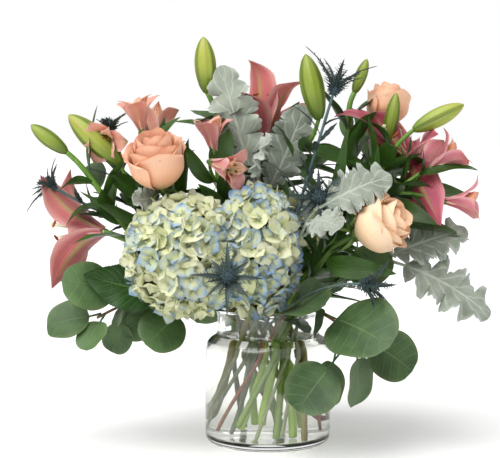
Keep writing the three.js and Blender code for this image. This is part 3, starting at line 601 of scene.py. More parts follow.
# %% The mottle and the grain of a skin
mottle_group, t, given, put_out = new_tree(
    "skin_mottle", "ShaderNodeTree",
    [("Place", "Vector", None), ("Patch size", "Float", 60.0), ("Grain size", "Float", 900.0),
     ("Tint", "Float", 0.5)],
    [("Patch", "Float"), ("Grain", "Float")],
)
patch = t.ramp(t.noise(given["Place"], given["Patch size"], 4.0, 0.6), 0.3, 0.7)
patch = t.math("ADD", t.math("MULTIPLY", patch, 0.5), t.math("MULTIPLY", given["Tint"], 0.5))
t.feed(put_out["Patch"], patch)
t.feed(put_out["Grain"], t.noise(given["Place"], given["Grain size"], 2.0, 0.6))
print("shader groups:", [g.name for g in (veins_group, mottle_group)])


# %% Start a material
def start_material(name):
    """A material with its tree emptied but for the output, with the blade's map, its tint and the object's place."""
    material = bpy.data.materials.new(name)
    material.use_nodes = True
    material.node_tree.nodes.clear()
    t = Tree(material.node_tree)
    end = t.put("ShaderNodeOutputMaterial")
    uv = t.put("ShaderNodeUVMap", {"uv_map": "blade"}).outputs["UV"]
    tint = t.put("ShaderNodeAttribute", {"attribute_name": "tint"}).outputs["Fac"]
    place = t.put("ShaderNodeTexCoord").outputs["Object"]
    return material, t, end, uv, tint, place


def use_group(t, group, **inputs):
    """Places a shader group, feeds its inputs, and gives back its outputs."""
    node = t.tree.nodes.new("ShaderNodeGroup")
    node.node_tree = group
    for name, value in inputs.items():
        t.feed(node.inputs[name.replace("_", " ")], value)
    return node.outputs


def finish_skin(t, end, base, roughness, height, depth, through=None, share=0.0, **plain):
    """The shader of a skin: its own reflections, a bump from a height, and some light let through from behind."""
    bump = t.put("ShaderNodeBump", Height=height, Distance=depth)
    bump.inputs["Strength"].default_value = 1.0
    shader = t.put("ShaderNodeBsdfPrincipled", Normal=bump.outputs["Normal"])
    t.feed(shader.inputs["Base Color"], base)
    t.feed(shader.inputs["Roughness"], roughness)
    for name, value in plain.items():
        shader.inputs[name.replace("_", " ")].default_value = value
    surface = shader.outputs["BSDF"]
    if share:
        back = t.put("ShaderNodeBsdfTranslucent", Color=through, Normal=bump.outputs["Normal"])
        mixer = t.put("ShaderNodeMixShader", Fac=share)
        t.feed(mixer.inputs[1], surface)
        t.feed(mixer.inputs[2], back.outputs["BSDF"])
        surface = mixer.outputs["Shader"]
    t.feed(end.inputs["Surface"], surface)
# %% [markdown]
# ## The jar and its water
# The jar is blown glass: a round foot, straight walls, a soft shoulder and a rolled lip. The CAD jar has 36 flat
# sides, which would show as stripes of light, so its outline is read off one side and turned again, smoothly. The
# water could stand a hair inside the glass, but then the light meets a film of air and the jar looks silvered, so
# its skin lies just inside the wall's own thickness. Shadow rays pass both, because a path tracer needs very many
# samples to find light through glass.

# %% Read the outline of the jar and turn it
JAR_TURNS = 128
WATER_IN_WALL = 0.25 * MM
CREEP = 1.2 * MM  # how far the water's rim climbs the glass
NEAR_AXIS = 2e-5
CORNER_CUT = 0.25


def outline_of(node):
    """[radius, height] pairs along a turned CAD solid, from the middle of its foot round to the middle inside."""
    skin = skin_of(node)
    on_line = [v for v in skin.verts if abs(v.co.x) < 1e-6 and v.co.y < 1e-6]
    here, seen = min(on_line, key=lambda v: v.co.z - v.co.y), []
    while here is not None:
        seen.append(here)
        near = [e.other_vert(here) for e in here.link_edges]
        near = [v for v in near if v in on_line and v not in seen]
        here = min(near, key=lambda v: (v.co - seen[-1].co).length) if near else None
    pairs = [(-v.co.y, v.co.z) for v in seen]
    skin.free()
    return pairs


def rounded(pairs):
    """The outline with its corners cut, and the new corners cut once more. Its two ends stay."""
    pairs = np.array(pairs)
    for _ in range(2):
        a, b = pairs[:-1], pairs[1:]
        cut = np.stack([a + (b - a) * CORNER_CUT, b + (a - b) * CORNER_CUT], axis=1).reshape(-1, 2)
        pairs = np.vstack([pairs[0], cut[1:-1], pairs[-1]])
    return pairs


jar_outline = outline_of("jar")
jar_curve = rounded(jar_outline)
top = int(np.argmax([z for _, z in jar_outline]))
wall = jar_outline[top:][::-1]
water_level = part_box("water")[1].z
print("jar outline:", [(round(r / MM, 1), round(z / MM, 1)) for r, z in jar_outline])
print("water stands at", round(water_level / MM, 1), "mm")

jar_heap = Heap()
turned(jar_heap, (0, 0, 0), UPRIGHT, np.maximum(jar_curve, [[NEAR_AXIS, -1]])[1:-1], JAR_TURNS)

# %% Fill the jar
inner = rounded(wall)
inner = inner[inner[:, 1] < water_level - CREEP]
inner[:, 0] += WATER_IN_WALL
inner[:, 1] -= np.where(inner[:, 1] < inner[:, 1].min() + 1 * MM, WATER_IN_WALL, 0)
edge = np.interp(water_level, *np.array(rounded(wall)).T[::-1]) + WATER_IN_WALL
rim = [(edge, water_level), (edge - CREEP, water_level - CREEP * 0.6), (edge - 4 * CREEP, water_level - CREEP)]
water_curve = np.vstack([inner[1:], rim, [(NEAR_AXIS, water_level - CREEP)]])
water_heap = Heap()
turned(water_heap, (0, 0, 0), UPRIGHT, water_curve, JAR_TURNS)


# %% Clear materials that let shadow rays through
def clear_material(name, tint, index, ripple, ripple_size):
    material, t, end, _, _, place = start_material(name)
    wander = t.noise(place, ripple_size, 2.0, 0.4)
    bump = t.put("ShaderNodeBump", Height=wander, Distance=ripple)
    shader = t.put("ShaderNodeBsdfPrincipled", Roughness=0.0, IOR=index, Normal=bump.outputs["Normal"])
    shader.inputs["Transmission Weight"].default_value = 1.0
    shader.inputs["Base Color"].default_value = colour(tint)
    light = t.put("ShaderNodeLightPath")
    open_way = t.put("ShaderNodeBsdfTransparent", Color=colour(tint))
    mixer = t.put("ShaderNodeMixShader", Fac=light.outputs["Is Shadow Ray"])
    t.feed(mixer.inputs[1], shader.outputs["BSDF"])
    t.feed(mixer.inputs[2], open_way.outputs["BSDF"])
    t.feed(end.inputs["Surface"], mixer.outputs["Shader"])
    return material


glass = clear_material("blown_glass", "fbfcfa", 1.45, 0.12 * MM, 22.0)
water = clear_material("water", "fdfdfa", 1.33, 0.05 * MM, 30.0)
piece_of(jar_heap, "glass_jar", "glass", [glass], "jar")
piece_of(water_heap, "jar_water", "water", [water], "water")
print("jar and water are in place")
# %% [markdown]
# ## The stems
# A cut stem is a tapering rod, faintly ribbed, thicker at the nodes where a leaf once sat, and browner towards its
# foot, where it has been stripped. Each follows the centre line that was read from its CAD solid. A curve object with
# a bevel would do, but it can't swell at the nodes, so the stems are swept in code, a ring at a time.

# %% Sweep the stems along their centre lines
STEM_SIDES = 12
NODE_EVERY = 34 * MM
NODE_LONG = 2.6 * MM
FIRST_NODE = 9 * MM
TAPER = 0.22
SWELLING = {"lily": 0.05, "alstroemeria": 0.05}
USUAL_SWELLING = 0.14
OLD_BELOW = (0.09, 0.2)
SLOT_AND_FINISH = {
    "hydrangea": ("stem", "woody_stem"),
    "rose": ("stem", "rose_stem"),
    "lily": ("stem", "lily_stem"),
    "alstroemeria": ("stem", "lily_stem"),
    "sea": ("sea_holly_stem", "steel_stem"),
    "dusty": ("dusty_miller", "felted_stem"),
    "eucalyptus": ("eucalyptus", "gum_stem"),
}


def knotted(line, radius, swell):
    """Radii along a stem: a little thinner towards its end, with a swelling at every node."""
    lengths = np.r_[0, np.cumsum(np.linalg.norm(np.diff(line, axis=0), axis=1))]
    taper = 1.0 - TAPER * lengths / lengths[-1]
    knots = np.exp(-(((lengths + FIRST_NODE) % NODE_EVERY - NODE_EVERY / 2) ** 2) / (2 * NODE_LONG**2))
    return radius * 0.94 * taper * (1 + swell * knots)


def stem_material(name, young, old, bloom, rough):
    """Young colour above, old colour and brown streaks below, and a pale bloom in patches."""
    material, t, end, uv, tint, place = start_material(name)
    streak_place = t.put("ShaderNodeMapping", Vector=place)
    streak_place.inputs["Scale"].default_value = (1.0, 1.0, 0.08)
    streaks = t.noise(streak_place.outputs["Vector"], 420.0, 3.0, 0.6)
    height = t.put("ShaderNodeSeparateXYZ", Vector=place).outputs["Z"]
    wander = t.math("MULTIPLY", t.math("SUBTRACT", t.noise(place, 30.0), 0.5), 0.16)
    high = t.ramp(t.math("ADD", height, wander), *OLD_BELOW)
    base = t.mix(high, colour(old), colour(young))
    base = t.mix(t.ramp(streaks, 0.5, 0.75, 0.0, 0.45), base, colour(bloom))
    mottle = use_group(t, mottle_group, Place=place, Patch_size=90.0, Grain_size=1500.0, Tint=tint)
    base = t.mix(t.math("MULTIPLY", mottle["Patch"], 0.35), base, t.mix(0.5, base, colour("2c2a12")))
    finish_skin(t, end, base, t.ramp(streaks, 0.3, 0.7, rough, rough + 0.15), mottle["Grain"], 0.15 * MM)
    return material


stem_finishes = {
    "woody_stem": stem_material("woody_stem", "7f9438", "85793c", "a9b45c", 0.5),
    "rose_stem": stem_material("rose_stem", "4c7426", "6b8a32", "8a5040", 0.4),
    "lily_stem": stem_material("lily_stem", "5d8a2a", "93b83e", "b4c85e", 0.36),
    "steel_stem": stem_material("steel_stem", "4b6466", "5d6b45", "8ba3a6", 0.5),
    "felted_stem": stem_material("felted_stem", "a9b5a2", "7f8c62", "c8cfc4", 0.9),
    "gum_stem": stem_material("gum_stem", "6b5a38", "7d4730", "8f9a5a", 0.55),
}
stem_ends = []
for node, lines in sorted(stem_lines.items()):
    kind = node.split("_")[0]
    slot, finish = SLOT_AND_FINISH[kind]
    heap = Heap()
    for line, radius in lines:
        radii = knotted(line, radius, SWELLING.get(kind, USUAL_SWELLING))
        tube(heap, line, radii, STEM_SIDES, random.random(), ribs=0.03)
        stem_ends.append(line[-1])
    piece_of(heap, node.replace("_stem", "_stalk"), slot, [stem_finishes[finish]], node)
print("stems:", len(stem_lines), "ends:", len(stem_ends))
# %% [markdown]
# ## The leaves
# Four sorts of leaf grow on these stems: long smooth blades, one broad toothed leaf, silver leaves with wavy lobes,
# and the coins of the eucalyptus. They differ in outline, teeth, folds and ruffles, but all are a sheet stretched
# along a rail, so one maker with many settings serves them all. A leaf picture on a flat card is the usual short
# cut, but it has no thickness and no edge.

# %% Stretch a leaf along its rail
HEART_OF_BUNCH = np.array([0.0, 0.0, 0.17])
MOSTLY_UP = np.array([0, 0, 0.05])
BLADE_BEGINS = 0.35


def even_rail(rail, rows, start=0.0, reach=1.0):
    """A smooth rail through what was read: middles, sides and normals at even shares, and the widest half width."""
    half = rail["half"]
    shares = RAIL_SHARES[: len(half)]
    wide = half.max()
    known = np.r_[0.0, shares, 1.0]
    points = np.vstack([rail["root"], rail["middle"], rail["tip"]])
    weight = np.r_[6.0, 0.4 + half / wide, 1.5]
    at = np.linspace(start, reach, rows)
    middle = np.stack([np.polyval(np.polyfit(known, points[:, k], 3, w=weight), at) for k in range(3)], axis=1)
    side = np.stack([np.polyval(np.polyfit(shares, rail["side"][:, k], 1, w=half), at) for k in range(3)], axis=1)
    aim = np.gradient(middle, axis=0)
    aim /= np.linalg.norm(aim, axis=1, keepdims=True)
    side -= aim * (side * aim).sum(1, keepdims=True)
    side /= np.linalg.norm(side, axis=1, keepdims=True)
    normal = np.cross(aim, side)
    outwards = middle[rows // 2] - HEART_OF_BUNCH
    if normal.mean(0) @ unit(outwards + MOSTLY_UP) < 0:
        side, normal = -side, -normal
    return middle, side, normal, wide


def blade_start(rail):
    """The share of a rail where its stalk ends and its blade begins."""
    wide = rail["half"] > BLADE_BEGINS * rail["half"].max()
    shares = RAIL_SHARES[: len(wide)]
    return 0.0 if wide[0] else max(0.0, float(shares[int(np.argmax(wide))]) - 0.08)


OUTLINES = {
    "lance": lambda s: np.sin(math.pi * s**0.75) ** 0.85,
    "broad": lambda s: np.sin(math.pi * s**0.68) ** 0.72 * (1 - 0.25 * s**5),
    "coin": lambda s: (2 * np.sqrt(np.maximum(0, s * (1 - s)))) ** 0.92,
    "silver": lambda s: np.sin(math.pi * s**0.95) ** 0.5,
}


def leaf(heap, rails_of_leaf, outline, rows, lanes, thick, fold=0.1, curl=0.0, ruffle=(0.0, 3.0), teeth=(0, 0.0),
         lobes=(0, 0.0), relief=(0, 0.0), grow=1.0, stretch=1.0, tint=0.5):
    """One leaf. ruffle, teeth, lobes and relief are each a count and a size, as a share of the half width."""
    middle, side, normal, wide = rails_of_leaf
    middle = middle[0] + (middle - middle[0]) * stretch
    share = np.linspace(0, 1, rows)[:, None]
    lane = np.linspace(-1, 1, lanes)[None]
    half = OUTLINES[outline](share) * wide * grow
    edge = np.abs(lane)
    shape = np.ones((rows, lanes))
    if lobes[0]:
        phase = np.where(lane < 0, 0.0, 0.5)
        notch = 1 - np.abs(np.sin(math.pi * (lobes[0] * share + phase))) ** 0.6
        small = 1 - np.abs(np.sin(math.pi * (3 * lobes[0] * share + phase))) ** 0.7
        shape *= 1 - lobes[1] * (notch + 0.36 * small * edge) * np.minimum(1, 4 * (1 - share))
    if teeth[0]:
        tooth = (teeth[0] * share) % 1.0
        shape += np.where(edge > 0.999, teeth[1] * (tooth - 0.5) * np.minimum(1, 8 * (1 - share)), 0)
    turn = random.random() * FULL_TURN
    wave = np.sin(2 * math.pi * ruffle[1] * share + turn + np.where(lane < 0, 0.0, 1.7))
    rise = fold * edge + curl * edge**2 + ruffle[0] * wave * edge**2.5
    if relief[0]:
        veins = np.abs(((share - 0.34 * edge**0.85) * relief[0]) % 1.0 - 0.5) * 2
        midrib = relief[1] * np.exp(-((edge / 0.07) ** 2))
        rise += relief[1] * (1 - veins**2) * np.minimum(1, 3 * (1 - edge)) - midrib
    out = lane * shape * np.maximum(half, 0.15 * MM)
    surface = middle[:, None] + side[:, None] * out[..., None] + normal[:, None] * (rise * half)[..., None]
    sheet(heap, surface, thick, tint)


def leaf_on(heap, rail, settings, tint):
    """A leaf with its stalk on a rail that was read from the CAD model."""
    start = blade_start(rail)
    if start > 0.05:
        stalk = even_rail(rail, 8, 0.0, start + 0.06)[0]
        tube(heap, stalk, np.linspace(1.25, 0.8, 8) * MM, 8, tint)
    leaf(heap, even_rail(rail, settings["rows"], start), tint=tint, **settings)


# %% [markdown]
# ## The skin of a leaf
# A leaf's upper side is darker between its veins, lighter along them, and never one green: each leaf has a tint of
# its own, and a mottle wanders over it. The same material serves every sort with other colours and other veins.

# %% Leaf materials
def leaf_material(name, deep, light, vein, side_veins=9.0, slant=0.35, midrib=0.05, fineness=0.2, lines=0.0,
                  rough=0.42, bump=0.5, rim="000000", rim_share=0.0, through="8fae3a", glow=0.16,
                  vein_share=0.6, **plain):
    material, t, end, uv, tint, place = start_material(name)
    veins = use_group(t, veins_group, UV=uv, Side_veins=side_veins, Slant=slant, Midrib=midrib,
                      Fineness=fineness, Lines=lines)
    mottle = use_group(t, mottle_group, Place=place, Patch_size=45.0, Grain_size=1400.0, Tint=tint)
    base = t.mix(mottle["Patch"], colour(deep), colour(light))
    base = t.mix(t.math("MULTIPLY", t.ramp(veins["Edge"], 0.7, 1.0), rim_share), base, colour(rim))
    lit = t.math("MULTIPLY", t.math("MAXIMUM", veins["Vein"], t.math("MULTIPLY", veins["Ribs"], 0.5)), vein_share)
    base = t.mix(lit, base, colour(vein))
    relief = t.math("SUBTRACT", t.math("MULTIPLY", mottle["Grain"], 0.35), t.math("MULTIPLY", veins["Vein"], 0.8))
    relief = t.math("SUBTRACT", relief, t.math("MULTIPLY", veins["Ribs"], 0.35))
    roughness = t.ramp(mottle["Grain"], 0.3, 0.7, rough - 0.06, rough + 0.1)
    finish_skin(t, end, base, roughness, relief, bump * MM, colour(through), glow, **plain)
    return material


leaf_finishes = {
    "lance": leaf_material("smooth_leaf", "142c0b", "3f6a20", "7aa044", side_veins=5.0, slant=0.9, fineness=0.06,
                           lines=5.0, rough=0.34, bump=0.25, vein_share=0.3),
    "broad": leaf_material("toothed_leaf", "13300c", "2b5519", "6f9444", slant=0.34, fineness=0.1, rough=0.4,
                           bump=0.6, vein_share=0.5),
    "silver": leaf_material("silver_leaf", "6e786a", "abb3a4", "d0d5ca", side_veins=6.0, slant=0.3, midrib=0.08,
                            fineness=0.16, rough=0.85, rim="ccd3cd", rim_share=0.4, through="b9c8a8", glow=0.14,
                            vein_share=0.45, Sheen_Weight=0.6, Sheen_Roughness=0.5),
    "coin": leaf_material("gum_leaf", "27421f", "54743f", "86a06a", side_veins=6.0, slant=0.2, midrib=0.035,
                          fineness=0.06, rough=0.5, bump=0.2, rim="6f7f4c", rim_share=0.3, through="9fbb58",
                          glow=0.14, vein_share=0.28, Sheen_Weight=0.06),
}
LEAF_SETTINGS = {
    "lance": dict(outline="lance", rows=22, lanes=7, thick=0.6 * MM, fold=0.22, curl=0.1, ruffle=(0.1, 1.6)),
    "broad": dict(outline="broad", rows=113, lanes=17, thick=0.7 * MM, fold=0.1, curl=-0.18, ruffle=(0.05, 3.0),
                  teeth=(28, 0.07), relief=(9, 0.035)),
    "silver": dict(outline="silver", rows=97, lanes=13, thick=1.0 * MM, fold=0.08, curl=-0.12, ruffle=(0.3, 4.3),
                   lobes=(6, 0.37), grow=1.24),
    "coin": dict(outline="coin", rows=25, lanes=13, thick=0.6 * MM, fold=0.02, curl=0.12, ruffle=(0.05, 1.5),
                 grow=1.16, stretch=1.16),
}
LEAST_LEAF = 9 * MM
BROAD_HALF = 20 * MM
LONG_STALK = 0.3


def sort_of_leaf(node, rail):
    """A leaf's sort, from its plant. A very wide leaf, or one of the left lily's on a long stalk, is broad."""
    if node.startswith("eucalyptus"):
        return "coin"
    if node.startswith("dusty"):
        return "silver"
    stalked = node.startswith("lily_left") and blade_start(rail) > LONG_STALK
    return "broad" if stalked or rail["half"].max() > BROAD_HALF else "lance"


SLOT_OF_LEAF = {"coin": "eucalyptus", "silver": "dusty_miller", "broad": "stem", "lance": "stem"}
for node in sorted(stem_lines):
    heaps = {}
    for rail in rails[node]:
        if rail["half"].max() * 2 < LEAST_LEAF:
            continue
        sort = sort_of_leaf(node, rail)
        heap = heaps.setdefault(sort, Heap())
        leaf_on(heap, rail, LEAF_SETTINGS[sort], random.random())
    for sort, heap in sorted(heaps.items()):
        name = node.replace("_stem", f"_{sort}_leaves")
        piece_of(heap, name, SLOT_OF_LEAF[sort], [leaf_finishes[sort]], node)
print("leaf pieces made")
# %% [markdown]
# ## The hydrangea heads
# A hydrangea head is a dome of small flowers. Each has four broad sepals round a bead, and they stand so close that
# they overlap. All are alike but none is the same: that is a job for Geometry Nodes, which scatter a few florets
# over the dome, stand each on the dome's normal, tilt, turn and size it at random, and give it a tint. Placing them by
# hand or with a particle system would give the same dome, but with no sizes to turn.

# %% Three florets to choose from
SEPAL_LONG = 11.5 * MM
SEPAL_WIDE = 12.5 * MM
SEPAL_THICK = 0.45 * MM
SEPAL_STEP = 0.5 * MM  # how far every other sepal stands above its neighbours


def member_mesh(heap, name):
    """A mesh to be scattered. Its parts are told apart by a number on each face, and its tint comes later."""
    mesh = heap.mesh(name)
    part = mesh.attributes.new("part", "INT", "FACE")
    part.data.foreach_set("value", np.concatenate(heap.kinds).astype(np.int32))
    mesh.attributes.remove(mesh.attributes["tint"])
    return mesh


def floret(name, cup, spread, seed):
    """Four cupped sepals and a bead, standing on +Z at the origin."""
    draw = np.random.default_rng(seed)
    heap = Heap()
    rows, lanes = 5, 4
    share = np.linspace(0, 1, rows)[:, None]
    lane = np.linspace(-1, 1, lanes)[None]
    for i in range(4):
        turn = math.pi / 2 * i + draw.uniform(-0.12, 0.12)
        long = SEPAL_LONG * draw.uniform(0.88, 1.08)
        wide = SEPAL_WIDE * draw.uniform(0.88, 1.06) / 2
        belly = np.sin(math.pi * np.minimum(1, share * 1.02) ** 0.92) ** 0.55
        half = wide * (0.16 + 0.84 * belly) * (1 - 0.35 * share**6)
        out = 1.0 * MM + long * share * spread * (1 - 0.06 * lane**2)
        rise = cup * long * share**1.6 + 0.12 * long * lane**2 * share * draw.uniform(-0.4, 1.0)
        rise = rise + (i % 2) * SEPAL_STEP
        rise = rise + 0.05 * long * np.sin(4 * share + lane * 2.4 + draw.uniform(0, 6))
        flat = np.stack([out + 0 * lane, lane * half, rise], axis=2)
        spin = [[math.cos(turn), math.sin(turn), 0], [-math.sin(turn), math.cos(turn), 0], [0, 0, 1]]
        sheet(heap, flat @ np.array(spin), SEPAL_THICK)
    bead = [(0.7 * MM, -0.4 * MM), (1.3 * MM, 0.5 * MM), (0.7 * MM, 1.5 * MM)]
    turned(heap, (0, 0, 0), (0, 0, 1), bead, 5, kind=1)
    return member_mesh(heap, name)


def helper_collection(name, meshes):
    """Objects for a tree to pick from. They are deleted once they have been used."""
    collection = bpy.data.collections.new(name)
    bpy.context.scene.collection.children.link(collection)
    for mesh in meshes:
        collection.objects.link(bpy.data.objects.new(mesh.name, mesh))
    return collection


def drop_collection(collection):
    for thing in list(collection.objects):
        bpy.data.objects.remove(thing)
    bpy.data.collections.remove(collection)


# %% What every growing tree does
MEMBERS = 3  # how many shapes each collection holds
DENSEST = 900000.0


def grower(name, inputs):
    """A Geometry Nodes tree that is given a mesh, a collection of members and a seed, and puts out a mesh."""
    inputs = [("Geometry", "Geometry", None), ("Members", "Collection", None), *inputs, ("Seed", "Int", 1)]
    return new_tree(name, "GeometryNodeTree", inputs, [("Geometry", "Geometry")])


def drawn(t, given, low, high, kind, offset):
    """A random value between two ends, one for each point. The offset keeps one draw apart from the next."""
    seed = t.math("ADD", given["Seed"], float(offset))
    node = t.put("FunctionNodeRandomValue", {"data_type": kind}, Seed=seed)
    ends = [s for s in node.inputs if s.enabled and s.name in ("Min", "Max")]
    t.feed(ends[0], low)
    t.feed(ends[1], high)
    return next(s for s in node.outputs if s.enabled)


def set_members(t, given, points, aim, lean):
    """Sets a member on each point, turned to an aim and then leaned, sized and tinted at random, as one mesh."""
    upright = t.put("FunctionNodeAlignRotationToVector", {"axis": "Z"}, Vector=aim)
    turn = t.put("FunctionNodeRotateRotation", {"rotation_space": "LOCAL"}, Rotation=upright.outputs["Rotation"],
                 Rotate_By=lean.outputs["Vector"])
    members = t.put("GeometryNodeCollectionInfo", Collection=given["Members"])
    members.inputs["Separate Children"].default_value = True
    members.inputs["Reset Children"].default_value = True
    placed = t.put("GeometryNodeInstanceOnPoints", Points=points, Instance=members.outputs["Instances"],
                   Rotation=turn.outputs["Rotation"])
    placed.inputs["Pick Instance"].default_value = True
    t.feed(placed.inputs["Instance Index"], drawn(t, given, 0, MEMBERS - 1, "INT", 4))
    t.feed(placed.inputs["Scale"], drawn(t, given, given["Least size"], given["Most size"], "FLOAT", 5))
    tinted = t.put("GeometryNodeStoreNamedAttribute", {"data_type": "FLOAT", "domain": "INSTANCE"},
                   Geometry=placed.outputs["Instances"], Name="tint")
    tint = next(s for s in tinted.inputs if s.enabled and s.name == "Value")
    t.feed(tint, drawn(t, given, 0.0, 1.0, "FLOAT", 6))
    return t.put("GeometryNodeRealizeInstances", Geometry=tinted.outputs["Geometry"]).outputs["Geometry"]


# %% The tree that scatters florets
def scatter_tree(name):
    """A tree that scatters the members of a collection over a surface, each standing on its normal."""
    tree, t, given, put_out = grower(name, [
        ("Spacing", "Float", 0.012), ("Least size", "Float", 0.8), ("Most size", "Float", 1.1),
        ("Tilt", "Float", 0.3), ("Main finish", "Material", None), ("Second finish", "Material", None),
    ])
    spots = t.put("GeometryNodeDistributePointsOnFaces", {"distribute_method": "POISSON"}, Mesh=given["Geometry"],
                  Distance_Min=given["Spacing"], Density_Max=DENSEST, Seed=given["Seed"])
    tilt = given["Tilt"]
    tilt_back = t.math("MULTIPLY", tilt, -1.0)
    lean = t.put("ShaderNodeCombineXYZ", X=drawn(t, given, tilt_back, tilt, "FLOAT", 1),
                 Y=drawn(t, given, tilt_back, tilt, "FLOAT", 2), Z=drawn(t, given, 0.0, 2 * math.pi, "FLOAT", 3))
    whole = set_members(t, given, spots.outputs["Points"], spots.outputs["Normal"], lean)
    part = t.put("GeometryNodeInputNamedAttribute", {"data_type": "INT"}, Name="part").outputs["Attribute"]
    for number, label in enumerate(("Main finish", "Second finish")):
        this_part = t.put("FunctionNodeCompare", {"data_type": "INT", "operation": "EQUAL"})
        a, b = [s for s in this_part.inputs if s.enabled][:2]
        t.feed(a, part)
        t.feed(b, number)
        painted = t.put("GeometryNodeSetMaterial", Geometry=whole, Selection=this_part.outputs["Result"],
                        Material=given[label])
        whole = painted.outputs["Geometry"]
    t.feed(put_out["Geometry"], whole)
    return tree


def grown_piece(name, slot, base, tree, inputs, *cad_nodes):
    """Runs a tree on a mesh, with its inputs set by their identifiers, and makes the mesh that it grows a piece."""
    carrier = bpy.data.objects.new(name + "_carrier", base)
    bpy.context.scene.collection.objects.link(carrier)
    modifier = carrier.modifiers.new("grow", "NODES")
    modifier.node_group = tree
    known = {s.name: s.identifier for s in tree.interface.items_tree if s.in_out == "INPUT"}
    for label, value in inputs.items():
        modifier[known[label]] = value
    bpy.context.view_layer.update()
    graph = bpy.context.evaluated_depsgraph_get()
    mesh = bpy.data.meshes.new_from_object(carrier.evaluated_get(graph))
    mesh.name = name
    bpy.data.objects.remove(carrier)
    return piece_from(mesh, slot, *cad_nodes)


# %% The colours of a sepal
def sepal_material(name, cream, green, blue, blue_low, blue_high):
    material, t, end, uv, tint, place = start_material(name)
    veins = use_group(t, veins_group, UV=uv, Side_veins=5.0, Slant=0.5, Midrib=0.05, Fineness=0.1, Lines=4.0)
    mottle = use_group(t, mottle_group, Place=place, Patch_size=26.0, Grain_size=1300.0, Tint=tint)
    base = t.mix(mottle["Patch"], colour(cream), colour(green))
    heart = t.ramp(veins["Along"], 0.0, 0.45, 0.75, 0.0)
    base = t.mix(heart, base, colour("c3cd72"))
    edge = t.math("MAXIMUM", t.ramp(veins["Edge"], 0.1, 1.0, 0.0, 0.75), t.ramp(veins["Along"], 0.3, 0.95))
    blueing = t.math("ADD", t.math("MULTIPLY", mottle["Patch"], 0.5), t.math("MULTIPLY", tint, 0.5))
    blueing = t.ramp(blueing, blue_low, blue_high)
    base = t.mix(t.math("MULTIPLY", edge, blueing), base, colour(blue))
    base = t.mix(t.math("MULTIPLY", veins["Ribs"], 0.22), base, colour("c3cc86"))
    relief = t.math("SUBTRACT", t.math("MULTIPLY", mottle["Grain"], 0.3), veins["Ribs"])
    roughness = t.ramp(mottle["Grain"], 0.3, 0.7, 0.5, 0.65)
    finish_skin(t, end, base, roughness, relief, 0.25 * MM, colour("eef2c8"), 0.25)
    return material


def plain_growth(name, deep, light, rough=0.5):
    """A small green or coloured part, mottled from a deep to a light colour."""
    material, t, end, uv, tint, place = start_material(name)
    mottle = use_group(t, mottle_group, Place=place, Patch_size=120.0, Grain_size=1800.0, Tint=tint)
    base = t.mix(mottle["Patch"], colour(deep), colour(light))
    finish_skin(t, end, base, rough, mottle["Grain"], 0.2 * MM)
    return material


bead_finish = plain_growth("floret_bead", "8ea6b8", "c9d3a6")
head_heart_finish = plain_growth("head_heart", "2c3d16", "566b2a", 0.8)

# %% Grow the three heads
HEAD_INSET = 6.0 * MM
HEART_INSET = 8 * MM
CUP_AND_SPREAD = ((0.3, 0.95), (0.55, 0.86), (0.14, 1.0))
surface_tree = scatter_tree("scatter_on_surface")
floret_shapes = [floret(f"floret_{i}", *shape, i + 3) for i, shape in enumerate(CUP_AND_SPREAD)]
florets = helper_collection("florets", floret_shapes)
FLORET_FACES = len(floret_shapes[0].polygons)
HEAD_COLOURS = {
    "hydrangea_head_left": sepal_material("cream_sepal", "fffde8", "e3e8a4", "93b8ee", 0.5, 0.78),
    "hydrangea_head_right": sepal_material("blue_edged_sepal", "fdfce6", "dce29e", "7fabee", 0.38, 0.66),
    "hydrangea_head_back": sepal_material("green_sepal", "f8f8d4", "d6df8e", "93b6ea", 0.5, 0.85),
}
for seed, (node, finish) in enumerate(sorted(HEAD_COLOURS.items())):
    low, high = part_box(node)
    middle, half = (low + high) / 2, (high - low) / 2
    dome = bmesh.new()
    bmesh.ops.create_icosphere(dome, subdivisions=4, radius=1.0)
    for v in dome.verts:
        lump = 1 + 0.035 * math.sin(7 * v.co.x + seed) * math.sin(6 * v.co.y) + 0.02 * math.sin(11 * v.co.z + seed)
        v.co = middle + Vector([v.co[k] * (half[k] - HEAD_INSET) * lump for k in range(3)])
    base = bpy.data.meshes.new("dome")
    dome.to_mesh(base)
    heap = Heap()
    sizes = np.array([half[k] - HEAD_INSET - HEART_INSET for k in range(3)])
    rows = np.linspace(0.02, math.pi - 0.02, 14)[:, None]
    turns = (np.arange(20) * 2 * math.pi / 20)[None]
    ball = [np.sin(rows) * np.cos(turns), np.sin(rows) * np.sin(turns), -np.cos(rows) + 0 * turns]
    rounds(heap, np.array(middle) + np.stack(ball, axis=2) * sizes, 0.3)
    piece_of(heap, node.replace("_head_", "_heart_"), "hydrangea", [head_heart_finish])
    inputs = {"Members": florets, "Spacing": 0.0097, "Least size": 0.85, "Most size": 1.2, "Tilt": 0.5,
              "Seed": 11 + seed, "Main finish": finish, "Second finish": bead_finish}
    piece = grown_piece(node.replace("_head_", "_florets_"), "hydrangea", base, surface_tree, inputs, node)
    print(node, "florets:", len(piece.data.polygons) // FLORET_FACES)
drop_collection(florets)
# %% [markdown]
# ## The roses
# A garden rose opens from a tight roll. Each petal is a cup that wraps a part of the way round the one inside it,
# one edge tucked under and the other over its neighbour, and the further out it stands the lower, wider and more
# rolled its lip is. So a rose is a rule with one number for each petal, from the heart outwards, at the turn of
# 137.5 degrees that many plants keep. Cloth simulation could roll petals too, but it would not keep the bloom's size.

# %% Where a flower sits on its stem
GOLDEN_TURN = math.radians(137.508)


